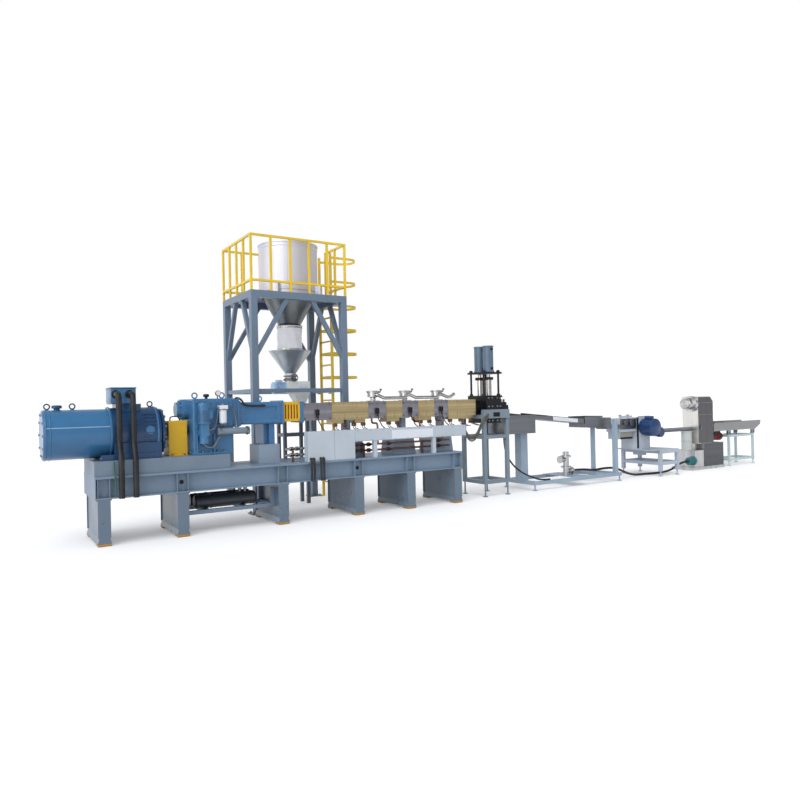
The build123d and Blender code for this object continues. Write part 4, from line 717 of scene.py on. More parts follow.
def eye_bolt(foot: Point, radius: float = 0.030, wire: float = 0.008) -> list[Solid]:
    """Lifting eye: an upright ring on a collar, seen round from the front.

    Args:
        foot: Place where the collar stands.
        radius: Radius of the ring.
        wire: Radius of its wire.

    Returns:
        Ring and collar.
    """
    x, y, z = foot
    return [ring((x, y, z + radius + 0.012), Axis.FRONT, radius, wire, 20),
            turned([(0.020, 0.0), (0.020, 0.008), (0.012, 0.018)], foot, Axis.UP, 12)]


def fins(origin: Point, axis: Axis, radius: float, length: float, count: int, depth: float = 0.010) -> Solid:
    """Cooling fins: thin discs at even steps along an axis.

    Args:
        origin: Start of the row of fins.
        axis: Direction of the axis.
        radius: Inner radius.
        length: Length of the row.
        count: Number of fins.
        depth: Depth of a fin.

    Returns:
        All fins together.
    """
    _, _, along = basis(axis)
    thick = length / count * 0.35
    disc = turned([(radius, 0.0), (radius + depth, thick * 0.2), (radius + depth, thick * 0.8),
                   (radius, thick)],
                  (0.0, 0.0, 0.0), axis, 28)
    return copies(disc, np.array(origin) + (np.arange(count) + 0.3)[:, None] * length / count * along)


class SubAssembly:
    """A group of pieces that ride on one body."""

    body = "line"

    def keep(self, name: str, solids: list[Solid], finish: Finish, crease: float = 40.0) -> bpy.types.Object:
        """Joins solids into one named piece.

        Args:
            name: Name of the piece.
            solids: Solids that share a finish.
            finish: Finish of the piece.
            crease: Angle in degrees past which an edge stays sharp.

        Returns:
            The new object, at the origin and riding on the body.
        """
        starts = np.cumsum([0] + [len(s.points) for s in solids])
        points = np.concatenate([s.points for s in solids])
        faces = [f for s, n in zip(solids, starts) for f in (s.quads + n).tolist() + (s.tris + n).tolist()]
        mesh = bpy.data.meshes.new(name)
        mesh.from_pydata(points.tolist(), [], faces)
        mesh.polygons.foreach_set("use_smooth", np.ones(len(faces), bool))
        mesh.set_sharp_from_angle(angle=np.radians(crease))
        mesh.materials.append(finish.material())
        made = bpy.data.objects.new(name, mesh)
        bpy.context.scene.collection.objects.link(made)
        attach(made, self.body)
        LOG.info("%s: %d faces", name, len(faces))
        return made

    def build(self) -> None:
        """Makes and dresses all pieces of the group."""
        raise NotImplementedError


@dataclass
class DriveMotor(SubAssembly):
    """Small parts of the drive motor: cowl beads, eyes, cap, bolts, terminal lid and glands.

    Attributes:
        eye_xs: Places of the lifting eyes along the cowl.
        cap_x: Place of the breather cap.
        seam_angle: Height of the lap seam above the middle, in degrees.
        bead: Radius of beads.
        lid: Thickness of the terminal lid.
        gland_xs: Places of the cable glands.
        gland_z: Height of the glands.
    """

    eye_xs: tuple[float, ...] = (-0.535, -0.265)
    cap_x: float = -0.430
    seam_angle: float = 17.0
    bead: float = 0.007
    lid: float = 0.014
    gland_xs: tuple[float, ...] = (0.190, 0.350)
    gland_z: float = 1.770

    def build(self) -> None:
        """Adds the small parts of cowl, frame and terminal box."""
        low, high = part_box("motor_cowl")
        y, z = (low.y + high.y) / 2.0, (low.z + high.z) / 2.0
        radius = (high.z - low.z) / 2.0
        angle = np.radians(self.seam_angle)
        seam_y, seam_z = y - radius * np.cos(angle), z + radius * np.sin(angle)
        beads = [ring((x, y, z), Axis.ALONG, radius, self.bead, 64)
                 for x in (low.x + 0.030, low.x + 0.075, high.x - 0.016)]
        self.keep("cowl_beads", beads, MOTOR_PAINT)
        # The seam bead is painted pale, a painted highlight along the lap seam.
        seam = rod((low.x + 0.032, seam_y, seam_z), Axis.ALONG, self.bead, high.x - low.x - 0.05, 0.002, 8)
        self.keep("cowl_seam", [seam], SEAM_PAINTED_HIGHLIGHT)
        eyes = [part for x in self.eye_xs for part in eye_bolt((x, y, high.z - 0.002))]
        eyes += eye_bolt((0.620, y, z + 0.306))
        self.keep("motor_eyes", eyes, MOTOR_PAINTED_SHADE)
        cap = turned([(0.034, -0.004), (0.034, 0.016), (0.056, 0.020), (0.056, 0.048), (0.044, 0.056)],
                     (self.cap_x, y, high.z))
        self.keep("cowl_breather_cap", [cap], MOTOR_PAINTED_SHADE)
        heads = [bolts(bolt_ring((high.x + 0.595, y, z), Axis.ALONG, 0.262, 12), Axis.ALONG, 0.034, 0.02),
                 bolts(bolt_ring((low.x, y, z), Axis.BACK_ALONG, radius - 0.045, 10), Axis.BACK_ALONG, 0.026,
                       0.01),
                 bolts(rows((0.05, 0.64), (y - 0.31, y + 0.31), 1.012), Axis.UP, 0.042, 0.03)]
        self.keep("motor_bolts", heads, BOLT_STEEL)
        box_low, box_high = (0.140, y - 0.172, 1.650), (0.424, y + 0.172, 1.840)
        lid = slab((box_low[0] - 0.008, box_low[1] - 0.008, box_high[2]),
                   (box_high[0] + 0.008, box_high[1] + 0.008, box_high[2] + self.lid), 0.006)
        shell = slab((box_low[0] - 0.002, box_low[1] - 0.002, box_low[2] + 0.006),
                     (box_high[0] + 0.002, box_high[1] + 0.002, box_high[2] + 0.001), 0.008)
        self.keep("terminal_box_cover", [shell, lid], GEAR_PAINT)
        glands = [turned([(0.052, -0.004), (0.052, 0.018), (0.044, 0.022), (0.044, 0.034)],
                         (x, box_low[1], self.gland_z), Axis.FRONT, 12) for x in self.gland_xs]
        self.keep("terminal_glands", glands, BLACK_STEEL)
        plate = turned([(0.052, -0.01), (0.052, 0.008), (0.046, 0.011)], (0.560, y - 0.305, z + 0.03),
                       Axis.FRONT, 28)
        self.keep("motor_round_plate", [plate], MOTOR_PAINT)
        flanges = [hoop((x, y, z), Axis.ALONG, 0.304, 0.026, 0.016, 72) for x in (0.108, 0.642)]
        self.keep("motor_end_flanges", flanges, MOTOR_PAINT)
        lead = pipe([(0.118, y - 0.416, 0.975), (0.113, y - 0.430, 0.90), (0.121, y - 0.452, 0.80),
                     (0.129, y - 0.456, 0.68), (0.125, y - 0.452, 0.60)], 0.007)
        self.keep("earth_lead", [lead], GREEN_LEAD)


@dataclass
class CouplingGuard(SubAssembly):
    """Handle, hems and screws of the coupling guard.

    Attributes:
        handle_half: Half the length of the handle.
        handle_rise: Height of the handle.
        handle_wire: Radius of the handle's wire.
    """

    handle_half: float = 0.060
    handle_rise: float = 0.055
    handle_wire: float = 0.008

    def build(self) -> None:
        """Adds the handle, the foot hems and their screws."""
        low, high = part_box("coupling_guard")
        x, y = (low.x + high.x) / 2.0, (low.y + high.y) / 2.0
        half, top = self.handle_half, high.z
        grip = pipe([(x - half, y, top - 0.002), (x - half, y, top + self.handle_rise),
                     (x + half, y, top + self.handle_rise), (x + half, y, top - 0.002)], self.handle_wire, 3,
                    8)
        self.keep("guard_handle", [grip], BLACK_STEEL)
        hems = [slab((low.x, low.y - 0.030, low.z), (high.x, low.y, low.z + 0.006), 0.002),
                slab((low.x, high.y, low.z), (high.x, high.y + 0.030, low.z + 0.006), 0.002)]
        self.keep("guard_hems", hems, GUARD_PAINT)
        heads = bolts(rows((low.x + 0.04, high.x - 0.04), (low.y - 0.016, high.y + 0.016), low.z + 0.006),
                      Axis.UP)
        self.keep("guard_screws", [heads], BOLT_STEEL)


@dataclass
class GearCase(SubAssembly):
    """Small parts of gearbox and distribution case: eyes, gauge, bolts, pump fins, oil pipes.

    Attributes:
        eye_places: Places of the lifting eyes along the line and their heights.
        breather_x: Place of the breather.
        gauge_x: Place of the pressure gauge.
        hose_radius: Radius of the oil hoses.
    """

    eye_places: tuple[tuple[float, float], ...] = ((1.185, 1.700), (1.545, 1.700), (2.070, 1.645))
    breather_x: float = 1.290
    gauge_x: float = 1.430
    hose_radius: float = 0.013

    def build(self) -> None:
        """Adds the small parts from the input side to the barrel flange."""
        low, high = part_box("distribution_case")
        y = (low.y + high.y) / 2.0
        front = y - 0.290
        eyes = [part for x, z in self.eye_places for part in eye_bolt((x, y, z - 0.002), 0.034, 0.009)]
        self.keep("gear_eyes", eyes, GEAR_PAINT)
        breather = turned([(0.018, -0.003), (0.018, 0.02), (0.038, 0.024), (0.038, 0.052), (0.026, 0.06)],
                          (self.breather_x, y - 0.16, 1.700), Axis.UP, 16)
        self.keep("gear_breather", [breather], BLACK_STEEL)
        dial_y, dial_z = y - 0.20, 1.768
        gauge = [rod((self.gauge_x, dial_y + 0.012, 1.698), Axis.UP, 0.008, 0.05, sides=10),
                 turned([(0.034, -0.012), (0.036, 0.0), (0.036, 0.022), (0.032, 0.026)],
                        (self.gauge_x, dial_y, dial_z), Axis.FRONT, 24)]
        self.keep("oil_gauge_case", gauge, PIPE_COPPER)
        face = turned([(0.029, 0.0), (0.029, 0.0275)], (self.gauge_x, dial_y, dial_z), Axis.FRONT, 24)
        self.keep("oil_gauge_face", [face], WHITE_PLATE)
        heads = [
            bolts(bolt_ring((0.990, y, 1.565), Axis.BACK_ALONG, 0.110, 8), Axis.BACK_ALONG, 0.030, 0.016),
            bolts(rows(np.linspace(1.13, 1.55, 6), front, (1.345, 1.655)), Axis.FRONT, 0.030, 0.016),
            bolts(rows(np.linspace(1.13, 1.55, 6), y + 0.290, (1.345, 1.655)), Axis.REAR, 0.030, 0.016),
            bolts(rows(np.linspace(1.10, 1.48, 5), (y - 0.314, y + 0.314), 1.015), Axis.UP, 0.036, 0.024),
            bolts(rows(1.734, (y - 0.15, y, y + 0.15), 1.653), Axis.UP, 0.024, 0.012),
            bolts(rows((1.760, 1.90, 2.04, 2.18, 2.32), (y - 0.198), (1.375, 1.618)), Axis.FRONT, 0.022,
                  0.010),
            bolts(rows((1.760, 1.90, 2.04, 2.18, 2.32), (y + 0.198), (1.375, 1.618)), Axis.REAR, 0.022,
                  0.010),
        ]
        self.keep("gear_bolts", heads, GEAR_PAINT)
        pump_y = y - 0.366
        pump = [fins((1.195, pump_y, 1.405), Axis.UP, 0.064, 0.150, 8, 0.012),
                turned([(0.070, -0.004), (0.070, 0.030), (0.058, 0.046)], (1.195, pump_y, 1.600)),
                slab((1.235, pump_y - 0.045, 1.440), (1.300, pump_y + 0.045, 1.545), 0.008),
                turned([(0.082, 0.0), (0.082, 0.014)], (1.195, pump_y, 1.384))]
        self.keep("oil_pump_fins", pump, GEAR_PAINT)
        filter_y = y - 0.346
        caps = [turned([(0.053, 0.0), (0.053, 0.020)], (1.448, filter_y, 1.366)),
                turned([(0.053, 0.0), (0.053, 0.016)], (1.448, filter_y, 1.548)),
                rod((1.448, filter_y, 1.605), Axis.UP, 0.018, 0.03)]
        self.keep("filter_rings", caps, BOLT_STEEL)
        cooler_y = y - 0.352
        ends = [turned([(0.056, 0.0), (0.056, 0.018)], (x, cooler_y, 1.276), Axis.ALONG)
                for x in (1.392, 1.752)]
        ends.append(rod((1.62, cooler_y, 1.300), Axis.UP, 0.018, 0.05))
        self.keep("cooler_rings", ends, BOLT_STEEL)
        oil_pipes = [
            pipe([(1.195, pump_y, 1.150), (1.200, pump_y - 0.02, 1.10), (1.30, pump_y - 0.02, 1.07),
                  (1.36, pump_y, 1.15), (1.41, cooler_y, 1.235)], 0.016),
            pipe([(1.247, pump_y, 1.30), (1.33, pump_y - 0.02, 1.31), (1.36, filter_y, 1.40),
                  (1.39, filter_y, 1.585),
                  (1.42, filter_y, 1.585)], 0.012),
            pipe([(1.500, filter_y, 1.590), (1.56, filter_y, 1.59), (1.60, filter_y, 1.52),
                  (1.62, cooler_y, 1.40),
                  (1.62, cooler_y, 1.335)], 0.012),
        ]
        self.keep("oil_pipes", oil_pipes, STAINLESS_DULL)
        case_y = y - 0.198 - self.hose_radius - 0.004
        hose = pipe([(1.66, y - 0.20, 1.700), (1.70, y - 0.215, 1.705), (1.745, case_y - 0.02, 1.668),
                     (1.775, case_y, 1.610), (1.86, case_y, 1.592), (2.06, case_y, 1.592),
                     (2.075, case_y + 0.02, 1.592)],
                    self.hose_radius)
        self.keep("case_hose", [hose], CABLE_RUBBER)
        shaft = [turned([(0.085, 0.0), (0.105, 0.012), (0.105, 0.030), (0.070, 0.036)],
                        (1.030, y, 1.298), Axis.ALONG, 24)]
        self.keep("coupling_hub", shaft, BLACK_STEEL)


@dataclass
class Lantern(SubAssembly):
    """Orange lining behind the slots of the lantern guard and the guard's screws.

    Attributes:
        lining: Thickness of the lining.
    """

    lining: float = 0.022

    def build(self) -> None:
        """Adds lining and screws."""
        low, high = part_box("lantern_guard")
        y = (low.y + high.y) / 2.0
        core = 0.119
        sheets = [slab((low.x + 0.012, y - core - self.lining, low.z + 0.034),
                       (high.x - 0.012, y - core, high.z - 0.036), 0.003),
                  slab((low.x + 0.012, y + core, low.z + 0.034),
                       (high.x - 0.012, y + core + self.lining, high.z - 0.036),
                       0.003)]
        self.keep("lantern_lining", sheets, ORANGE_PAINT)
        heads = [bolts(rows((low.x + 0.016, high.x - 0.016), low.y, (low.z + 0.018, high.z - 0.018)),
                       Axis.FRONT, 0.018,
                       0.008),
                 bolts(rows((low.x + 0.016, high.x - 0.016), high.y, (low.z + 0.018, high.z - 0.018)),
                       Axis.REAR, 0.018,
                       0.008)]
        self.keep("lantern_screws", heads, BOLT_STEEL)


@dataclass
class Barrel(SubAssembly):
    """Heater ribs, rivets, sensor plugs, terminals, wires and vent lids on the screw barrel.

    Attributes:
        heaters: Start and end of each heater cover.
        steels: Start and end of each bare steel section.
        rib_step: Aim for the distance between cover ribs.
        rib: Width of a rib.
        half: Half width of the barrel.
        bottom: Underside of the barrel.
        top: Top of the barrel.
        vents: Places of the vent cups.
        wire: Radius of a heater lead.
    """

    heaters: tuple[tuple[float, float], ...] = ((3.110, 3.720), (4.030, 4.325), (4.620, 4.930),
                                                (5.200, 5.770))
    steels: tuple[tuple[float, float], ...] = ((2.660, 3.110), (3.720, 4.030), (4.325, 4.620), (4.930, 5.200))
    rib_step: float = 0.19
    rib: float = 0.010
    half: float = 0.145
    bottom: float = 1.366
    top: float = 1.616
    vents: tuple[float, ...] = (3.888, 4.466, 5.076)
    wire: float = 0.006

    def build(self) -> None:
        """Adds the small parts from the feed section to the die end."""
        low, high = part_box("heater_covers")
        y = (low.y + high.y) / 2.0
        front, back = low.y, high.y
        ribs, rivets = [], []
        for start, end in self.heaters:
            xs = np.linspace(start + 0.012, end - 0.012, max(3, round((end - start) / self.rib_step) + 1))
            for x in xs:
                ribs.append(slab((x - self.rib / 2, front - 0.004, self.bottom + 0.010),
                                 (x + self.rib / 2, back + 0.004, self.top + 0.008), 0.003))
            rivets.append(bolts(rows(np.linspace(start + 0.04, end - 0.04, len(xs) * 2), front,
                                     (self.bottom + 0.024, self.top - 0.022)), Axis.FRONT, 0.014, 0.006))
            rivets.append(bolts(rows(np.linspace(start + 0.04, end - 0.04, len(xs) * 2), back,
                                     (self.bottom + 0.024, self.top - 0.022)), Axis.REAR, 0.014, 0.006))
        self.keep("heater_ribs", ribs, HEATER_BRASS)
        self.keep("heater_rivets", rivets, BOLT_STEEL)
        plugs, leads, heads = [], [], []
        for start, end in self.steels:
            x = (start + end) / 2.0 - 0.01
            face = y - self.half
            plugs += [slab((x - 0.022, face - 0.045, 1.440), (x + 0.022, face, 1.520), 0.006),
                      rod((x, face - 0.030, 1.400), Axis.UP, 0.013, 0.05)]
            leads.append(pipe([(x, face - 0.030, 1.405), (x + 0.004, face - 0.032, 1.36),
                               (x + 0.030, face - 0.055, 1.30),
                               (x + 0.026, face - 0.10, 1.255), (x + 0.030, face - 0.18, 1.218)],
                              self.wire + 0.002))
            heads += [bolts(rows((start + 0.028, end - 0.028), face, (1.392, 1.590)), Axis.FRONT, 0.026,
                            0.014),
                      bolts(rows((start + 0.028, end - 0.028), y + self.half, (1.392, 1.590)), Axis.REAR,
                            0.026, 0.014),
                      bolts(rows((start + 0.028, end - 0.028), (y - 0.11, y + 0.11), self.top), Axis.UP,
                            0.026, 0.014)]
        self.keep("sensor_plugs", plugs, BLACK_STEEL)
        self.keep("barrel_bolts", heads, BOLT_STEEL)
        blocks, copper = [], []
        for start, end in self.heaters:
            count = max(2, round((end - start) / 0.17))
            for n, x in enumerate(np.linspace(start + 0.07, end - 0.07, count)):
                blocks.append(slab((x - 0.030, y - 0.126, 1.262), (x + 0.030, y - 0.070, 1.310), 0.006))
                drop = 0.004 * (n % 3)
                for shift in (-0.014, 0.014):
                    path = [(x + shift, y - 0.10, 1.268), (x + shift * 1.3, y - 0.11 - drop, 1.232),
                            (x + shift * 2 + 0.012, y - 0.20, 1.205 + drop), (x + shift * 2, y - 0.33, 1.196)]
                    (leads if shift > 0 else copper).append(pipe(path, self.wire, 2, 8))
        self.keep("heater_terminals", blocks, PIPE_COPPER)
        self.keep("heater_leads_black", leads, CABLE_RUBBER)
        self.keep("heater_leads_copper", copper, PIPE_COPPER)
        lids, grips = [], []
        for x in self.vents:
            rim = self.top + 0.148
            lids.append(turned([(0.094, 0.0), (0.104, 0.004), (0.104, 0.014), (0.070, 0.020), (0.022, 0.022)],
                               (x, y, rim), Axis.UP, 28))
            grips.append(pipe([(x + 0.080, y - 0.02, rim - 0.016), (x + 0.112, y - 0.03, rim - 0.004),
                               (x + 0.122, y - 0.03, rim + 0.030)], 0.009, 2, 8))
            grips.append(turned([(0.010, 0.0), (0.020, 0.006), (0.020, 0.020), (0.010, 0.026)],
                                (x + 0.122, y - 0.03, rim + 0.024), Axis.UP, 14))
        self.keep("vent_lids", lids, STAINLESS)
        self.keep("vent_clamps", grips, STAINLESS_DULL)


@dataclass
class CableTrunk(SubAssembly):
    """Doors, bare plate and handles of the trunk, and the valves on the cooling pipes.

    Attributes:
        seam_x: Place of the seam between the two box doors.
        door: Thickness of a door.
        gap: Half the gap between doors.
        plate_xs: Place of the bare plate on the duct.
        valve_xs: Places of valves on the cooling pipes.
    """

    seam_x: float = 2.990
    door: float = 0.006
    gap: float = 0.003
    plate_xs: tuple[float, float] = (3.936, 4.676)
    valve_xs: tuple[float, ...] = (2.420, 2.500, 3.420, 3.530, 3.640, 3.980, 4.900)

    def build(self) -> None:
        """Adds doors, plate and valves."""
        low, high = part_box("cable_trunk")
        face = low.y
        box_end, duct_low = 3.320, 1.052
        doors = []
        for start, end in ((low.x + 0.004, self.seam_x - self.gap),
                           (self.seam_x + self.gap, box_end - 0.004)):
            doors.append(slab((start, face - self.door, low.z + 0.010), (end, face + 0.001, high.z - 0.006),
                              0.003, Axis.FRONT))
        cuts = np.linspace(box_end, high.x, 4)
        for start, end in zip(cuts[:-1], cuts[1:]):
            doors.append(slab((start + self.gap, face - self.door, duct_low + 0.006),
                              (end - self.gap, face + 0.001, high.z - 0.006), 0.003, Axis.FRONT))
        self.keep("trunk_doors", doors, LIGHT_PAINT)
        plate = slab((self.plate_xs[0], face - self.door - 0.002, 1.064),
                     (self.plate_xs[1], face - self.door + 0.001, 1.192),
                     0.002, Axis.FRONT)
        self.keep("trunk_bare_plate", [plate], WHITE_PLATE)
        locks = [bolts(rows(np.linspace(box_end + 0.05, high.x - 0.05, 10), face - self.door,
                             (duct_low + 0.02, high.z - 0.02)), Axis.FRONT, 0.012, 0.004)]
        self.keep("trunk_locks", locks, BOLT_STEEL)
        pipe_low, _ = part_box("cooling_pipes")
        pipe_y = 0.380 - 0.266
        bodies, levers = [], []
        sleeves = [rod((pipe_low.x + 0.002, pipe_y, z), Axis.ALONG, 0.0175, low.x - pipe_low.x - 0.004, 0.002)
                   for z in (0.905, 0.990)]
        for x in self.valve_xs:
            for z in (0.905, 0.990):
                (sleeves if x < low.x else bodies).extend((
                    turned([(0.022, 0.0), (0.030, 0.008), (0.030, 0.052), (0.022, 0.060)],
                           (x - 0.030, pipe_y, z), Axis.ALONG, 12),
                    rod((x, pipe_y - 0.028, z), Axis.FRONT, 0.016, 0.030, sides=10)))
                levers.append(slab((x - 0.045, pipe_y - 0.066, z - 0.010),
                                   (x + 0.020, pipe_y - 0.056, z + 0.010), 0.003))
        self.keep("cooling_steel_fittings", sleeves, STAINLESS)
        self.keep("cooling_valves", bodies, PIPE_COPPER)
        self.keep("cooling_levers", levers, BLACK_STEEL)


@dataclass
class MachineBase(SubAssembly):
    """Bolts and hole caps of the extruder base.

    Attributes:
        legs: Places of the legs.
        holes: Places of the capped holes in the beams.
        front: Front face of the base.
        back: Back face of the base.
    """

    legs: tuple[float, ...] = (0.0, 0.900, 2.220, 3.380, 4.270, 5.150)
    holes: tuple[float, ...] = (0.900, 3.380)
    front: float = -0.065
    back: float = 0.825

    def build(self) -> None:
        """Adds the bolts that join legs and beams."""
        xs = np.array([x + s for x in self.legs for s in (-0.048, 0.048)])
        heads = [bolts(rows(xs, (self.front + 0.03, self.back - 0.03), 0.529 - 0.016 - 0.018), Axis.UP, 0.034,
                       0.018),
                 bolts(rows(xs, (self.front + 0.03, self.back - 0.03), 0.561), Axis.UP, 0.030, 0.020),
                 bolts(rows(self.legs, self.front + 0.010, 0.600), Axis.FRONT, 0.022, 0.010)]
        self.keep("base_bolts", heads, BOLT_STEEL)
        plugs = [turned([(0.027, 0.0), (0.027, 0.004), (0.020, 0.006)], (x, 0.004, 0.671), Axis.FRONT, 20)
                 for x in self.holes]
        plugs += [turned([(0.027, 0.0), (0.027, 0.004), (0.020, 0.006)], (x, 0.756, 0.671), Axis.REAR, 20)
                  for x in self.holes]
        self.keep("beam_hole_caps", plugs, BLACK_STEEL)


@dataclass
class OilStation(SubAssembly):
    """Straps and valves of the oil tanks.

    Attributes:
        strap_xs: Places of the straps.
        valve_x: Place of the valves.
    """

    strap_xs: tuple[float, ...] = (1.180, 1.320, 1.700, 1.860)
    valve_x: float = 1.800

    def build(self) -> None:
        """Adds straps and valves."""
        low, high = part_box("oil_tanks")
        z = (low.z + high.z) / 2.0
        radius = (high.z - low.z) / 2.0
        ys = (0.380 - 0.120, 0.380 + 0.096)
        straps = [hoop((x, y, z), Axis.ALONG, radius - 0.001, 0.030, 0.006) for x in self.strap_xs
                  for y in ys]
        self.keep("oil_tank_straps", straps, TANK_PAINT)
        valves = []
        for y in ys:
            for shift in (0.0, 0.075):
                x = self.valve_x - shift
                valves += [turned([(0.016, -0.006), (0.016, 0.030), (0.026, 0.034), (0.026, 0.060),
                                   (0.012, 0.066)],
                                  (x, y, high.z), Axis.UP, 12),
                           ring((x, y, high.z + 0.078), Axis.UP, 0.026, 0.006, 18)]
        self.keep("oil_valves", valves, BOLT_STEEL)


@dataclass
class ScreenChanger(SubAssembly):
    """Nuts, ports, bolts and conduits of screen changer and die.

    Attributes:
        cylinder_ys: Places of the cylinders across the line.
        cylinder_x: Place of the cylinders along the line.
        block_bolts: Places of the bolts along the block.
        conduit_route: Points of the lowest conduit, from the trunk to the block.
        conduit_lifts: How far each conduit lies above the lowest.
        conduit_radius: Radius of a conduit.
    """

    cylinder_ys: tuple[float, float] = (0.265, 0.495)
    cylinder_x: float = 6.086
    block_bolts: tuple[float, ...] = (5.958, 6.030, 6.140, 6.206)
    conduit_route: tuple[Point, ...] = (
        (5.316, 0.0, 1.10), (5.36, 0.005, 1.08), (5.44, 0.03, 0.98), (5.55, 0.06, 0.935), (5.68, 0.09, 1.01),
        (5.77, 0.105, 1.16), (5.86, 0.108, 1.27), (5.94, 0.110, 1.31), (5.97, 0.140, 1.33))
    conduit_lifts: tuple[float, ...] = (0.0, 0.032, 0.064)
    conduit_radius: float = 0.013

    def build(self) -> None:
        """Adds the small parts of cylinders, block and die."""
        low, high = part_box("hydraulic_cylinders")
        ports, plates = [], []
        for y in self.cylinder_ys:
            ports += [rod((self.cylinder_x, y - 0.086, z), Axis.FRONT, 0.020, 0.028, sides=10)
                      for z in (low.z + 0.06, high.z - 0.06)]
            plates.append(turned([(0.098, 0.0), (0.100, 0.006), (0.100, 0.020), (0.098, 0.026)],
                                 (self.cylinder_x, y, low.z), Axis.UP, 32))
        self.keep("cylinder_ports", ports, BLACK_STEEL)
        self.keep("cylinder_collars", plates, CYLINDER_PAINT)
        die_low, die_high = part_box("die_head")
        block_low, block_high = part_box("screen_changer_block")
        y = 0.380
        heads = [bolts(rows((die_low.x + 0.045, die_low.x + 0.150), np.linspace(y - 0.145, y + 0.145, 5),
                            die_high.z),
                       Axis.UP, 0.040, 0.05),
                 bolts(rows(self.block_bolts, block_low.y, (1.262, 1.500, 1.640)), Axis.FRONT, 0.036, 0.022),
                 bolts(rows(self.block_bolts, block_high.y, (1.262, 1.500, 1.640)), Axis.REAR, 0.036, 0.022)]
        self.keep("die_bolts", heads, BOLT_STEEL)
        conduits = [pipe([(x, y, z + lift) for x, y, z in self.conduit_route], self.conduit_radius)
                    for lift in self.conduit_lifts]
        self.keep("die_conduits", conduits, GREY_CONDUIT)


@dataclass
class ScreenSlide(SubAssembly):
    """Dark link cover on one piston, which moves with its screen slide.

    Attributes:
        body: Body that carries the cover.
        y: Place of the piston across the line.
        x: Place of the piston along the line.
        low: Underside of the cover.
        radius: Radius of the cover.
    """

    body: str = "front_slide"
    y: float = 0.265
    x: float = 6.086
    low: float = 1.949
    radius: float = 0.080

    def build(self) -> None:
        """Adds the cover and the screws under it."""
        cover = turned([(self.radius - 0.006, 0.0), (self.radius, 0.004), (self.radius, 0.039),
                        (self.radius - 0.006, 0.043)],
                       (self.x, self.y, self.low), Axis.UP, 32)
        heads = bolts(bolt_ring((self.x, self.y, self.low - 0.008), Axis.UP, self.radius - 0.016, 6), Axis.UP,
                      0.016, 0.010)
        self.keep(f"{self.body}_link_cover", [cover, heads], BLACK_STEEL)


@dataclass
class StrandBath(SubAssembly):
    """Rims, strip, plate, bolts and pump parts of tank, trough and drain box.

    Attributes:
        slope: Fall of the trough in degrees.
        start: Place where the trough starts.
        top: Height of the trough's rim there.
        front: Front face of the trough's lip.
        drain_end: Place where the drain box ends.
        pump_x: Place of the water pump.
    """

    slope: float = 5.5
    start: float = 6.872
    top: float = 1.366
    front: float = 0.335
    drain_end: float = 8.955
    pump_x: float = 8.160

    def rim(self, x: float) -> float:
        """Height of the trough's rim at a place along the line."""
        return self.top - (x - self.start) * float(np.tan(np.radians(self.slope)))

    def build(self) -> None:
        """Adds rims, strip, plate and pump parts."""
        low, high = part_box("water_tank")
        lips = [slab((low.x - 0.006, y0, high.z - 0.020), (high.x + 0.006, y1, high.z + 0.004), 0.004)
                for y0, y1 in ((low.y - 0.012, low.y), (high.y, high.y + 0.012))]
        box_low, box_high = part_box("drain_box")
        lips += [slab((box_low.x - 0.006, y0, box_high.z - 0.020),
                      (self.drain_end + 0.006, y1, box_high.z + 0.004), 0.004)
                 for y0, y1 in ((box_low.y - 0.012, box_low.y), (box_high.y, box_high.y + 0.012))]
        lips.append(slab((self.drain_end - 0.001, box_low.y - 0.012, box_high.z - 0.020),
                         (self.drain_end + 0.012, box_high.y + 0.012, box_high.z + 0.004), 0.004))
        self.keep("bath_rims", lips, STAINLESS_DULL)
        strip = [tube(np.array([(x, self.front - 0.006, self.rim(x) - 0.008) for x in (6.90, 7.20, 7.50)]),
                      0.009, 8)]
        self.keep("trough_edge_strip", strip, DARK_RED)
        ends = [np.array([(x, self.front - 0.004, self.rim(x) - drop) for x in (7.645, 8.290)])
                for drop in (0.010, 0.080)]
        corners = np.concatenate([ends[0], ends[1][::-1]])
        plate = loft(np.stack([corners, corners + np.array([0.0, -0.003, 0.0])]))
        self.keep("trough_bare_plate", [plate], WHITE_PLATE)
        x, y = self.pump_x, 0.530
        pump = [turned([(0.100, 0.0), (0.100, 0.022)], (x, y, z)) for z in (0.175, 0.300, 0.500)]
        pump += [turned([(0.070, 0.0), (0.070, 0.016)], (x + shift, y, z), Axis.ALONG)
                 for shift, z in ((0.138, 0.238), (-0.168, 0.460))]
        self.keep("water_pump_flanges", pump, STAINLESS)
        heads = [bolts(bolt_ring((x, y, z), Axis.UP, 0.084, 8), Axis.UP, 0.018, 0.012)
                 for z in (0.197, 0.322, 0.522)]
        self.keep("water_pump_bolts", heads, BOLT_STEEL)


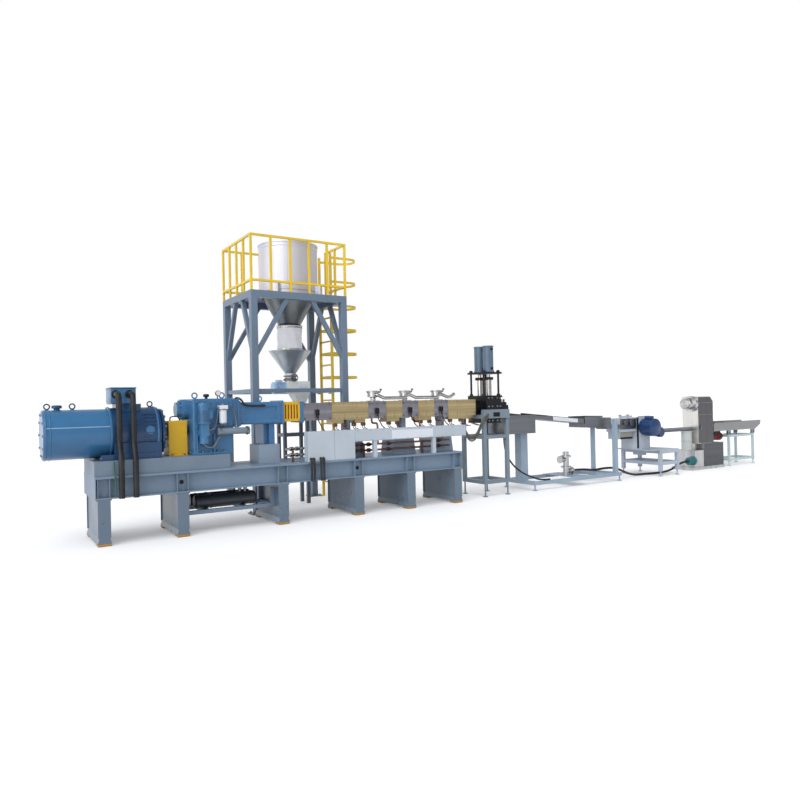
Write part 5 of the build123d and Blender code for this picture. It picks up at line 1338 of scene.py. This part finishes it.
@dataclass
class Pelletizer(SubAssembly):
    """Knobs, covers, fins and the corrugated pellet pipe.

    Attributes:
        knob_xs: Places of the knobs on the feed housing.
        middle: Middle of feed and cutter across the line.
        feed_front: Front face of the feed housing.
        motor_x: Place of the cutter motor's axis.
        motor_z: Height of the cutter motor's axis.
        ridge: Step of the pipe's corrugation.
    """

    knob_xs: tuple[float, ...] = (9.720, 9.830, 9.950, 10.070)
    middle: float = 0.640
    feed_front: float = 0.470
    motor_x: float = 10.300
    motor_z: float = 0.990
    ridge: float = 0.034

    def build(self) -> None:
        """Adds the small parts of the pelletizer."""
        y, face = self.middle, self.feed_front
        feed_top = 1.176
        knobs = [part for n, x in enumerate(self.knob_xs) for part in (
            rod((x, y - 0.10 + 0.07 * (n % 2), feed_top - 0.002), Axis.UP, 0.009, 0.05, sides=10),
            turned([(0.016, 0.0), (0.024, 0.006), (0.024, 0.022), (0.014, 0.030)],
                   (x, y - 0.10 + 0.07 * (n % 2), feed_top + 0.045), Axis.UP, 14))]
        self.keep("feed_knobs", knobs, STAINLESS)
        shell = [slab((9.648, face - 0.010, 0.960), (10.128, face + 0.002, 1.170), 0.004, Axis.FRONT),
                 rod((9.780, face - 0.008, 1.095), Axis.FRONT, 0.058, 0.040, sides=28),
                 rod((9.960, face - 0.008, 1.095), Axis.FRONT, 0.070, 0.060, sides=28)]
        self.keep("feed_roller_covers", shell, STAINLESS_DULL)
        cream = [slab((9.672, y - 0.158, 0.800), (10.036, y - 0.149, 0.902), 0.003, Axis.FRONT)]
        self.keep("feed_tray_panel", cream, CREAM_PAINT)
        black = [slab((9.668, y - 0.160, 0.762), (10.040, y - 0.148, 0.798), 0.003, Axis.FRONT),
                 slab((10.130, 0.413, 0.560), (10.150, 0.450, 1.190), 0.003)]
        self.keep("pelletizer_black_trim", black, BLACK_STEEL)
        motor_low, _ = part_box("pelletizer_motor")
        motor = [turned([(0.168, 0.0), (0.172, 0.010), (0.172, 0.066), (0.150, 0.080)],
                        (self.motor_x, motor_low.y + 0.072, self.motor_z), Axis.FRONT, 36),
                 slab((self.motor_x - 0.070, motor_low.y + 0.09, self.motor_z + 0.150),
                      (self.motor_x + 0.070, motor_low.y + 0.22, self.motor_z + 0.222), 0.010)]
        self.keep("cutter_motor_cover", motor, CUTTER_BLUE)
        second = [fins((10.542, 0.250, 0.880), Axis.FRONT, 0.090, 0.085, 5, 0.012)]
        self.keep("feed_motor_fins", second, CUTTER_BLUE)
        low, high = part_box("pellet_pipe")
        centre_y, centre_z = (low.y + high.y) / 2.0, (low.z + high.z) / 2.0
        radius = (high.z - low.z) / 2.0
        count = int((high.x - low.x) / self.ridge)
        steps = np.linspace(0.0, high.x - low.x, count * 6 + 1)
        width = radius * (0.84 + 0.15 * np.cos(steps * 2.0 * np.pi / self.ridge))
        hose = turned(list(zip(width, steps)), (low.x, centre_y, centre_z), Axis.ALONG, 24)
        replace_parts(self.keep("corrugated_pellet_pipe", [hose], STAINLESS_DULL), "pellet_pipe")


@dataclass
class Dryer(SubAssembly):
    """Doors, hinges, rings, fan and pump parts of the dryer.

    Attributes:
        door: Thickness of a door.
    """

    door: float = 0.010

    def build(self) -> None:
        """Adds doors, rings and pump parts."""
        low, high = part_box("dryer_column")
        left, right = low.x + 0.004, high.x - 0.004
        # The doors cover the column's front face in darker steel than its sides: painted shade on the front.
        panels = [slab((left, low.y - self.door, 0.575), (right, low.y + 0.001, 1.186), 0.003, Axis.FRONT),
                  slab((left, low.y - self.door, 1.190), (right, low.y + 0.001, 1.446), 0.003, Axis.FRONT)]
        head = np.array([(left, low.y, 1.450), (right, low.y, 1.450), (right, low.y, 1.472),
                         (right - 0.098, low.y, high.z - 0.012),
                         (left, low.y, high.z - 0.012)])
        panels.append(loft(np.stack([head + np.array([0.0, 0.001, 0.0]),
                                     head - np.array([0.0, self.door, 0.0])])))
        self.keep("dryer_doors", panels, DOOR_PAINTED_SHADE_STEEL)
        hinges = [rod((high.x - 0.030, low.y - 0.012, z), Axis.UP, 0.011, 0.06, sides=10)
                  for z in (0.70, 0.90, 1.09, 1.27)]
        hinges += [slab((low.x + 0.055, low.y - 0.032, 0.88), (low.x + 0.085, low.y - self.door, 0.96),
                        0.006)]
        self.keep("dryer_hinges", hinges, BOLT_STEEL)
        pot_low, pot_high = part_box("dryer_separator")
        x, y = (pot_low.x + pot_high.x) / 2.0, (pot_low.y + pot_high.y) / 2.0
        radius = (pot_high.x - pot_low.x) / 2.0
        hoops = [hoop((x, y, z), Axis.UP, radius - 0.001, 0.024, 0.012)
                 for z in (pot_low.z + 0.004, pot_low.z + 0.20, pot_high.z - 0.026)]
        self.keep("separator_hoops", hoops, SEPARATOR_PAINT)
        flange = [slab((12.144, 0.284, 0.548), (12.886, 0.290, 0.566), 0.003),
                  slab((12.144, 0.770, 0.548), (12.886, 0.776, 0.566), 0.003)]
        self.keep("dryer_tank_flange", flange, STAINLESS_DULL)
        # Dark panel on the front of the bright base tank: painted shade on the front face.
        panel = slab((12.154, 0.283, 0.064), (12.876, 0.291, 0.544), 0.003, Axis.FRONT)
        self.keep("dryer_tank_shaded_front", [panel], TANK_FRONT_PAINTED_SHADE)
        heads = [bolts(rows(np.linspace(12.18, 12.85, 9), 0.283, 0.557), Axis.FRONT, 0.016, 0.008)]
        self.keep("dryer_bolts", heads, BOLT_STEEL)
        pump_low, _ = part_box("dryer_pump")
        pump_y, pump_z = 0.340, 0.200
        self.keep("dryer_pump_fins",
                  [fins((pump_low.x + 0.02, pump_y, pump_z), Axis.ALONG, 0.074, 0.100, 6, 0.010)], TEAL_PAINT)
        fan_low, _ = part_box("dryer_fan")
        rings = [ring((fan_low.x + 0.004, 0.476, 1.430), Axis.ALONG, 0.100, 0.008, 32),
                 ring((fan_low.x + 0.002, 0.476, 1.430), Axis.ALONG, 0.070, 0.005, 28),
                 ring((fan_low.x + 0.002, 0.476, 1.430), Axis.ALONG, 0.040, 0.005, 24)]
        self.keep("fan_inlet_rings", rings, STAINLESS)


@dataclass
class Sieve(SubAssembly):
    """Rim, springs and motor parts of the vibrating sieve.

    Attributes:
        spring_turns: Turns of a spring.
        spring_wire: Radius of the spring's wire.
        spring_radius: Radius of a spring.
    """

    spring_turns: float = 4.0
    spring_wire: float = 0.008
    spring_radius: float = 0.044

    def build(self) -> None:
        """Adds rims, springs and motor parts."""
        low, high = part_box("sieve_tray")
        rims = [slab((low.x + 0.02, y0, high.z - 0.03), (high.x - 0.01, y1, high.z + 0.004), 0.004)
                for y0, y1 in ((low.y - 0.014, low.y), (high.y, high.y + 0.014))]
        self.keep("sieve_rims", rims, TRAY_STEEL)
        turns = np.linspace(0.0, 2.0 * np.pi * self.spring_turns, int(self.spring_turns * 18))
        coil = np.stack([self.spring_radius * np.cos(turns), self.spring_radius * np.sin(turns),
                         np.linspace(0.705, 0.798, len(turns))], -1)
        springs = [tube(coil + np.array([x, y, 0.0]), self.spring_wire, 8, (0.0, 0.0, 1.0))
                   for x in (13.153, 14.117) for y in (0.323, 0.737)]
        self.keep("sieve_springs", springs, BOLT_STEEL)
        motor_low, motor_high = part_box("sieve_motor")
        y, z = (motor_low.y + motor_high.y) / 2.0, 0.672
        self.keep("shaker_fins", [fins((12.930, y, z), Axis.ALONG, 0.074, 0.15, 7, 0.012)], RED_PAINT)


@dataclass
class HopperTower(SubAssembly):
    """Bolts, hopper bands and seam, sleeve clamps and feeder parts of the tower.

    Attributes:
        hopper_x: Place of the hopper's axis along the line.
        hopper_y: Place of the hopper's axis across the line.
        hopper_radius: Radius of the hopper wall.
        sleeve_radius: Radius of the sleeve.
        cloth: Thickness of the sleeve's cloth.
        fold_depth: Depth of the sleeve's folds.
        deck_top: Height where the skirt starts, just over the deck.
        skirt_height: Height of the skirt up to the shell.
        skirt_wall: Thickness of the skirt.
        skirt_inset: How far the skirt's inside lies behind the shell's outside.
        band_z: Height of the upper band.
        seam_shift: How far the weld seam stands left of the axis.
        clamp_zs: Heights of the sleeve's clamps.
    """

    hopper_x: float = 3.085
    hopper_y: float = 1.638
    hopper_radius: float = 0.467
    sleeve_radius: float = 0.202
    cloth: float = 0.003
    fold_depth: float = 0.010
    deck_top: float = 3.3095
    skirt_height: float = 0.0905
    skirt_wall: float = 0.005
    skirt_inset: float = 0.0055
    band_z: float = 4.08
    seam_shift: float = 0.20
    clamp_zs: tuple[float, float] = (2.478, 2.828)

    def build(self) -> None:
        """Adds the small parts of tower, hopper and feeder."""
        x, y = self.hopper_x, self.hopper_y
        feet = [bolts(rows((fx - 0.075, fx + 0.075), (fy - 0.075, fy + 0.075), 0.016), Axis.UP, 0.030, 0.022)
                for fx in (2.255, 3.744) for fy in (1.035, 2.239)]
        self.keep("tower_anchor_bolts", feet, BOLT_STEEL)
        bands = [hoop((x, y, self.band_z), Axis.UP, self.hopper_radius - 0.001, 0.034, 0.007, 96)]
        seam_y = y - np.sqrt(self.hopper_radius ** 2 - self.seam_shift ** 2)
        seam = [rod((x - self.seam_shift, seam_y, 3.44), Axis.UP, 0.004, 0.66, sides=8)]
        skirt = [hoop((x, y, self.deck_top), Axis.UP, self.hopper_radius - self.skirt_inset,
                      self.skirt_height,
                      self.skirt_wall, 96)]
        self.keep("hopper_bands", bands + seam + skirt, HOPPER_STEEL)
        clamps = [hoop((x, y, z), Axis.UP, self.sleeve_radius - 0.002, 0.024, 0.007) for z in self.clamp_zs]
        self.keep("sleeve_clamps", clamps, STAINLESS)
        self.sleeve()
        valve = [turned([(0.096, 0.0), (0.116, 0.004), (0.116, 0.022), (0.096, 0.026), (0.090, 0.060),
                         (0.112, 0.064),
                         (0.112, 0.084), (0.09, 0.088)], (x, y, 1.985), Axis.UP, 28),
                 rod((x, y - 0.09, 2.030), Axis.FRONT, 0.022, 0.070, sides=12),
                 ring((x, y - 0.165, 2.030), Axis.FRONT, 0.055, 0.008, 24)]
        self.keep("feeder_valve", valve, STAINLESS_DULL)
        heads = [bolts(bolt_ring((x, y, 2.007), Axis.UP, 0.104, 8), Axis.UP, 0.018, 0.012)]
        self.keep("feeder_valve_bolts", heads, BOLT_STEEL)
        motor_low, motor_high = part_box("feeder_motor")
        motor_y, motor_z = (motor_low.y + motor_high.y) / 2.0, (motor_low.z + motor_high.z) / 2.0
        parts = [fins((motor_low.x + 0.05, motor_y, motor_z), Axis.ALONG, 0.082, 0.120, 7, 0.010),
                 slab((motor_low.x + 0.06, motor_y - 0.05, motor_z + 0.076),
                      (motor_low.x + 0.15, motor_y + 0.05, motor_z + 0.130),
                      0.008)]
        self.keep("feeder_motor_fins", parts, FEEDER_BLUE)
        panel = slab((3.150, y - 0.135 - 0.010, 1.865), (3.310, y - 0.134, 1.935), 0.004, Axis.FRONT)
        self.keep("feeder_bare_plate", [panel], WHITE_PLATE)

    def sleeve(self) -> None:
        """Hangs the woven sleeve: a cloth tube whose radius swells and folds between its two clamps.

        At share t of the height and angle a, the radius is that of the sleeve plus a fold wave
        sin(9 a + 5 t) and a sag wave sin(3 a - 11 t), both fading out at the clamps.
        """
        low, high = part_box("hopper_sleeve")
        angle = np.linspace(0.0, 2.0 * np.pi, 144, endpoint=False)[:, None]
        share = np.linspace(0.0, 1.0, 40)[None, :]
        fade = np.sin(np.pi * share) ** 0.6
        wave = 0.60 * np.sin(9.0 * angle + 5.0 * share) + 0.40 * np.sin(3.0 * angle - 11.0 * share)
        outer = self.sleeve_radius - self.fold_depth * fade * (0.9 - wave)
        height = np.broadcast_to(low.z + (high.z - low.z) * share, outer.shape)
        radius = np.concatenate([outer, outer[:, ::-1] - self.cloth], 1)
        rise = np.concatenate([height, height[:, ::-1]], 1)
        cloth = np.stack([self.hopper_x + radius * np.cos(angle), self.hopper_y + radius * np.sin(angle),
                          rise], -1)
        made = self.keep("woven_sleeve", [loft(cloth, closed=True)], SLEEVE_CLOTH, 60.0)
        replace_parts(made, "hopper_sleeve")


@dataclass
class Hoses(SubAssembly):
    """Free hoses between pumps, die stand and trough frame.

    Attributes:
        pump_route: Points of the hose from water pump to dryer pump.
        pump_radius: Radius of that hose.
        pump_length: Length of that hose.
        die_route: Points of the hose from die stand to trough frame.
        die_radius: Radius of that hose.
        die_length: Length of that hose.
    """

    pump_route: tuple[Point, ...] = (
        (8.330, 0.530, 0.238), (8.620, 0.530, 0.238), (8.850, 0.455, 0.205), (9.080, 0.420, 0.232),
        (9.450, 0.440, 0.215), (9.850, 0.400, 0.040), (10.300, 0.440, 0.024), (10.750, 0.360, 0.024),
        (11.130, 0.380, 0.050), (11.420, 0.340, 0.200), (11.650, 0.340, 0.200))
    pump_radius: float = 0.022
    pump_length: float = 3.39
    die_route: tuple[Point, ...] = (
        (6.372, 0.230, 0.960), (6.372, 0.230, 0.740), (6.480, 0.180, 0.510), (6.680, 0.150, 0.345),
        (6.920, 0.158, 0.250), (7.160, 0.154, 0.175), (7.370, 0.165, 0.175))
    die_radius: float = 0.015
    die_length: float = 1.44

    def hose(self, name: str, node: str, route: tuple[Point, ...], radius: float, length: float) -> None:
        """Lays one hose on a smooth curve with the route as its control points.

        Args:
            name: Name of the piece.
            node: Node that it takes the place of.
            route: Points of the route.
            radius: Radius of the hose.
            length: Length of the hose; not used.
        """
        curve = bpy.data.curves.new(name, "CURVE")
        curve.dimensions = "3D"
        curve.bevel_depth = radius
        curve.bevel_resolution = 5
        curve.resolution_u = 16
        curve.use_fill_caps = True
        spline = curve.splines.new("NURBS")
        spline.points.add(len(route) - 1)
        spline.points.foreach_set("co",
                                  np.pad(np.array(route), ((0, 0), (0, 1)), constant_values=1.0).ravel())
        spline.order_u = 3
        spline.use_endpoint_u = True
        curve.materials.append(CABLE_RUBBER.material())
        made = bpy.data.objects.new(name, curve)
        bpy.context.scene.collection.objects.link(made)
        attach(made, self.body)
        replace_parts(made, node)
        LOG.info("%s: %.2f m long", name, spline.calc_length())

    def build(self) -> None:
        """Lays both hoses."""
        self.hose("water_hose", "pump_hose", self.pump_route, self.pump_radius, self.pump_length)
        self.hose("die_heating_hose", "die_hose", self.die_route, self.die_radius, self.die_length)


class Studio:
    """Camera, light, floor and background.

    Attributes:
        place: Place of the camera.
        right: Direction to the right in the picture.
        up: Direction up in the picture.
        back: Direction from the scene to the camera.
        focal_px: Focal length in pixels.
        image_px: Width of the picture in pixels.
        sensor: Width of the sensor in millimetres.
        far: Distance past which nothing is drawn.
        floor_half: Half the width of the floor.
        floor_z: Height of the floor, just under the feet.
        key_aim: Direction in which the key lamp shines.
        key_strength: Irradiance of the key lamp.
        key_angle: Width of the key lamp in degrees.
        side_aim: Direction in which the side lamp shines.
        side_strength: Irradiance of the side lamp.
        side_angle: Width of the side lamp in degrees.
    """

    place: Point = (-1.27206, -8.45111, 1.6)
    right: Point = (0.84223236, -0.53868742, -0.02145976)
    up: Point = (0.01626798, -0.0143929, 0.99976407)
    back: Point = (-0.53886919, -0.84238276, -0.00335881)
    focal_px: float = 669.42
    image_px: float = 800.0
    sensor: float = 36.0
    far: float = 600.0
    floor_half: float = 160.0
    floor_z: float = -0.001
    key_aim: Point = (0.45, 0.45, -1.0)
    key_strength: float = 0.95
    key_angle: float = 35.0
    side_aim: Point = (0.85, 0.42, -0.22)
    side_strength: float = 1.20
    side_angle: float = 50.0

    def camera(self) -> None:
        """Sets the camera at the place and angle of the photograph."""
        data = bpy.data.cameras.new("photo_camera")
        data.sensor_width = self.sensor
        data.lens = self.focal_px / self.image_px * self.sensor
        data.clip_end = self.far
        made = bpy.data.objects.new("photo_camera", data)
        bpy.context.scene.collection.objects.link(made)
        made.matrix_world = Matrix([(self.right[i], self.up[i], self.back[i], self.place[i])
                                    for i in range(3)]
                                   + [(0.0, 0.0, 0.0, 1.0)])
        bpy.context.scene.camera = made

    def lamp(self, name: str, towards: Point, strength: float, angle: float) -> None:
        """Adds one far soft lamp.

        Args:
            name: Name of the lamp.
            towards: Direction in which its light travels.
            strength: Irradiance of the lamp.
            angle: Width of the lamp in degrees.
        """
        data = bpy.data.lights.new(name, "SUN")
        data.energy = strength
        data.angle = np.radians(angle)
        made = bpy.data.objects.new(name, data)
        bpy.context.scene.collection.objects.link(made)
        aim = Matrix.Identity(3).col[2].copy()
        aim.x, aim.y, aim.z = towards
        made.rotation_euler = aim.to_track_quat("-Z", "Y").to_euler()

    def light(self) -> None:
        """Adds a key lamp from above, a low side lamp from the front left and a pale world."""
        self.lamp("key_lamp", self.key_aim, self.key_strength, self.key_angle)
        self.lamp("side_lamp", self.side_aim, self.side_strength, self.side_angle)
        world = bpy.data.worlds.new("studio_world")
        bpy.context.scene.world = world
        world.use_nodes = True
        tree = world.node_tree
        tree.nodes.clear()
        path = add(tree, "ShaderNodeLightPath")
        seen = add(tree, "ShaderNodeMath", {"operation": "MAXIMUM"},
                   {0: (path, "Is Camera Ray"), 1: (path, "Is Transmission Ray")})
        place = add(tree, "ShaderNodeTexCoord")
        parts = add(tree, "ShaderNodeSeparateXYZ", links={"Vector": (place, "Generated")})
        sky = add(tree, "ShaderNodeValToRGB",
                  {"stops": ((0.02, (1.0, 1.0, 1.0, 1.0)), (0.75, (0.34, 0.35, 0.37, 1.0)))},
                  {"Fac": (parts, "Z")})
        leftward = add(tree, "ShaderNodeVectorMath",
                       {"operation": "DOT_PRODUCT", 1: tuple(-v for v in self.right)},
                       {0: (place, "Generated")})
        side = add(tree, "ShaderNodeMapRange",
                   {"From Min": -0.6, "From Max": 0.7, "To Min": 0.62, "To Max": 1.35},
                   {"Value": (leftward, "Value")})
        softbox = add(tree, "ShaderNodeMix", {"data_type": "RGBA", "blend_type": "MULTIPLY", 0: 1.0},
                      {6: (sky, "Color"), 7: (side, "Result")})
        mirror = add(tree, "ShaderNodeMix", {"data_type": "RGBA", 6: (0.77, 0.78, 0.80, 1.0)},
                     {0: (path, "Is Glossy Ray"), 7: (softbox, 2)})
        colour = add(tree, "ShaderNodeMix", {"data_type": "RGBA", 7: (1.0, 1.0, 1.0, 1.0)},
                     {0: (seen, "Value"), 6: (mirror, 2)})
        shine = add(tree, "ShaderNodeBackground", {"Strength": 1.0}, {"Color": (colour, 2)})
        add(tree, "ShaderNodeOutputWorld", links={"Surface": (shine, "Background")})

    def floor(self) -> None:
        """Lays the pale floor, which keeps the shadow and is white to the camera elsewhere."""
        half, z = self.floor_half, self.floor_z
        mesh = bpy.data.meshes.new("studio_floor")
        mesh.from_pydata([(-half, -half, z), (half, -half, z), (half, half, z), (-half, half, z)], [],
                         [(0, 1, 2, 3)])
        made = bpy.data.objects.new("studio_floor", mesh)
        bpy.context.scene.collection.objects.link(made)
        material = bpy.data.materials.new("pale_floor")
        material.use_nodes = True
        tree = material.node_tree
        tree.nodes.clear()
        path = add(tree, "ShaderNodeLightPath")
        mirrored = add(tree, "ShaderNodeMath", {"operation": "MAXIMUM"},
                       {0: (path, "Is Glossy Ray"), 1: (path, "Is Transmission Ray")})
        seen = add(tree, "ShaderNodeMath", {"operation": "MAXIMUM"},
                   {0: (path, "Is Camera Ray"), 1: (mirrored, "Value")})
        lift = add(tree, "ShaderNodeMath", {"operation": "MULTIPLY", 1: 0.20}, {0: (seen, "Value")})
        shade = add(tree, "ShaderNodeMix",
                    {"data_type": "RGBA", 6: (0.68, 0.68, 0.69, 1.0), 7: (0.80, 0.80, 0.81, 1.0)},
                    {0: (seen, "Value")})
        matt = add(tree, "ShaderNodeBsdfDiffuse", links={"Color": (shade, 2)})
        glow = add(tree, "ShaderNodeEmission", {"Color": (1.0, 1.0, 1.0, 1.0)}, {"Strength": (lift, "Value")})
        both = add(tree, "ShaderNodeAddShader", links={0: (matt, "BSDF"), 1: (glow, "Emission")})
        add(tree, "ShaderNodeOutputMaterial", links={"Surface": (both, "Shader")})
        mesh.materials.append(material)

    def build(self) -> None:
        """Sets up camera, light and floor."""
        scene = bpy.context.scene
        scene.view_settings.view_transform = "Standard"
        self.camera()
        self.light()
        self.floor()


def dress_nodes(nodes: dict[str, bpy.types.Object]) -> None:
    """Gives each carried-over node its finish.

    Args:
        nodes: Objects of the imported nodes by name.
    """
    for name, node in nodes.items():
        node.data.materials.clear()
        node.data.materials.append(NODE_FINISHES[name].material())


def main() -> None:
    """Loads the frame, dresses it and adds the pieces."""
    logging.basicConfig(level=logging.INFO, format="%(name)s %(message)s")
    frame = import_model()
    Studio().build()
    dress_nodes(frame["nodes"])
    for group in (DriveMotor(), CouplingGuard(), GearCase(), Lantern(), Barrel(), CableTrunk(), MachineBase(),
                  OilStation(),
                  ScreenChanger(), ScreenSlide(), ScreenSlide("rear_slide", 0.495), StrandBath(),
                  Pelletizer(), Dryer(), Sieve(), HopperTower(), Hoses()):
        group.build()


if __name__ == "__main__":
    main()
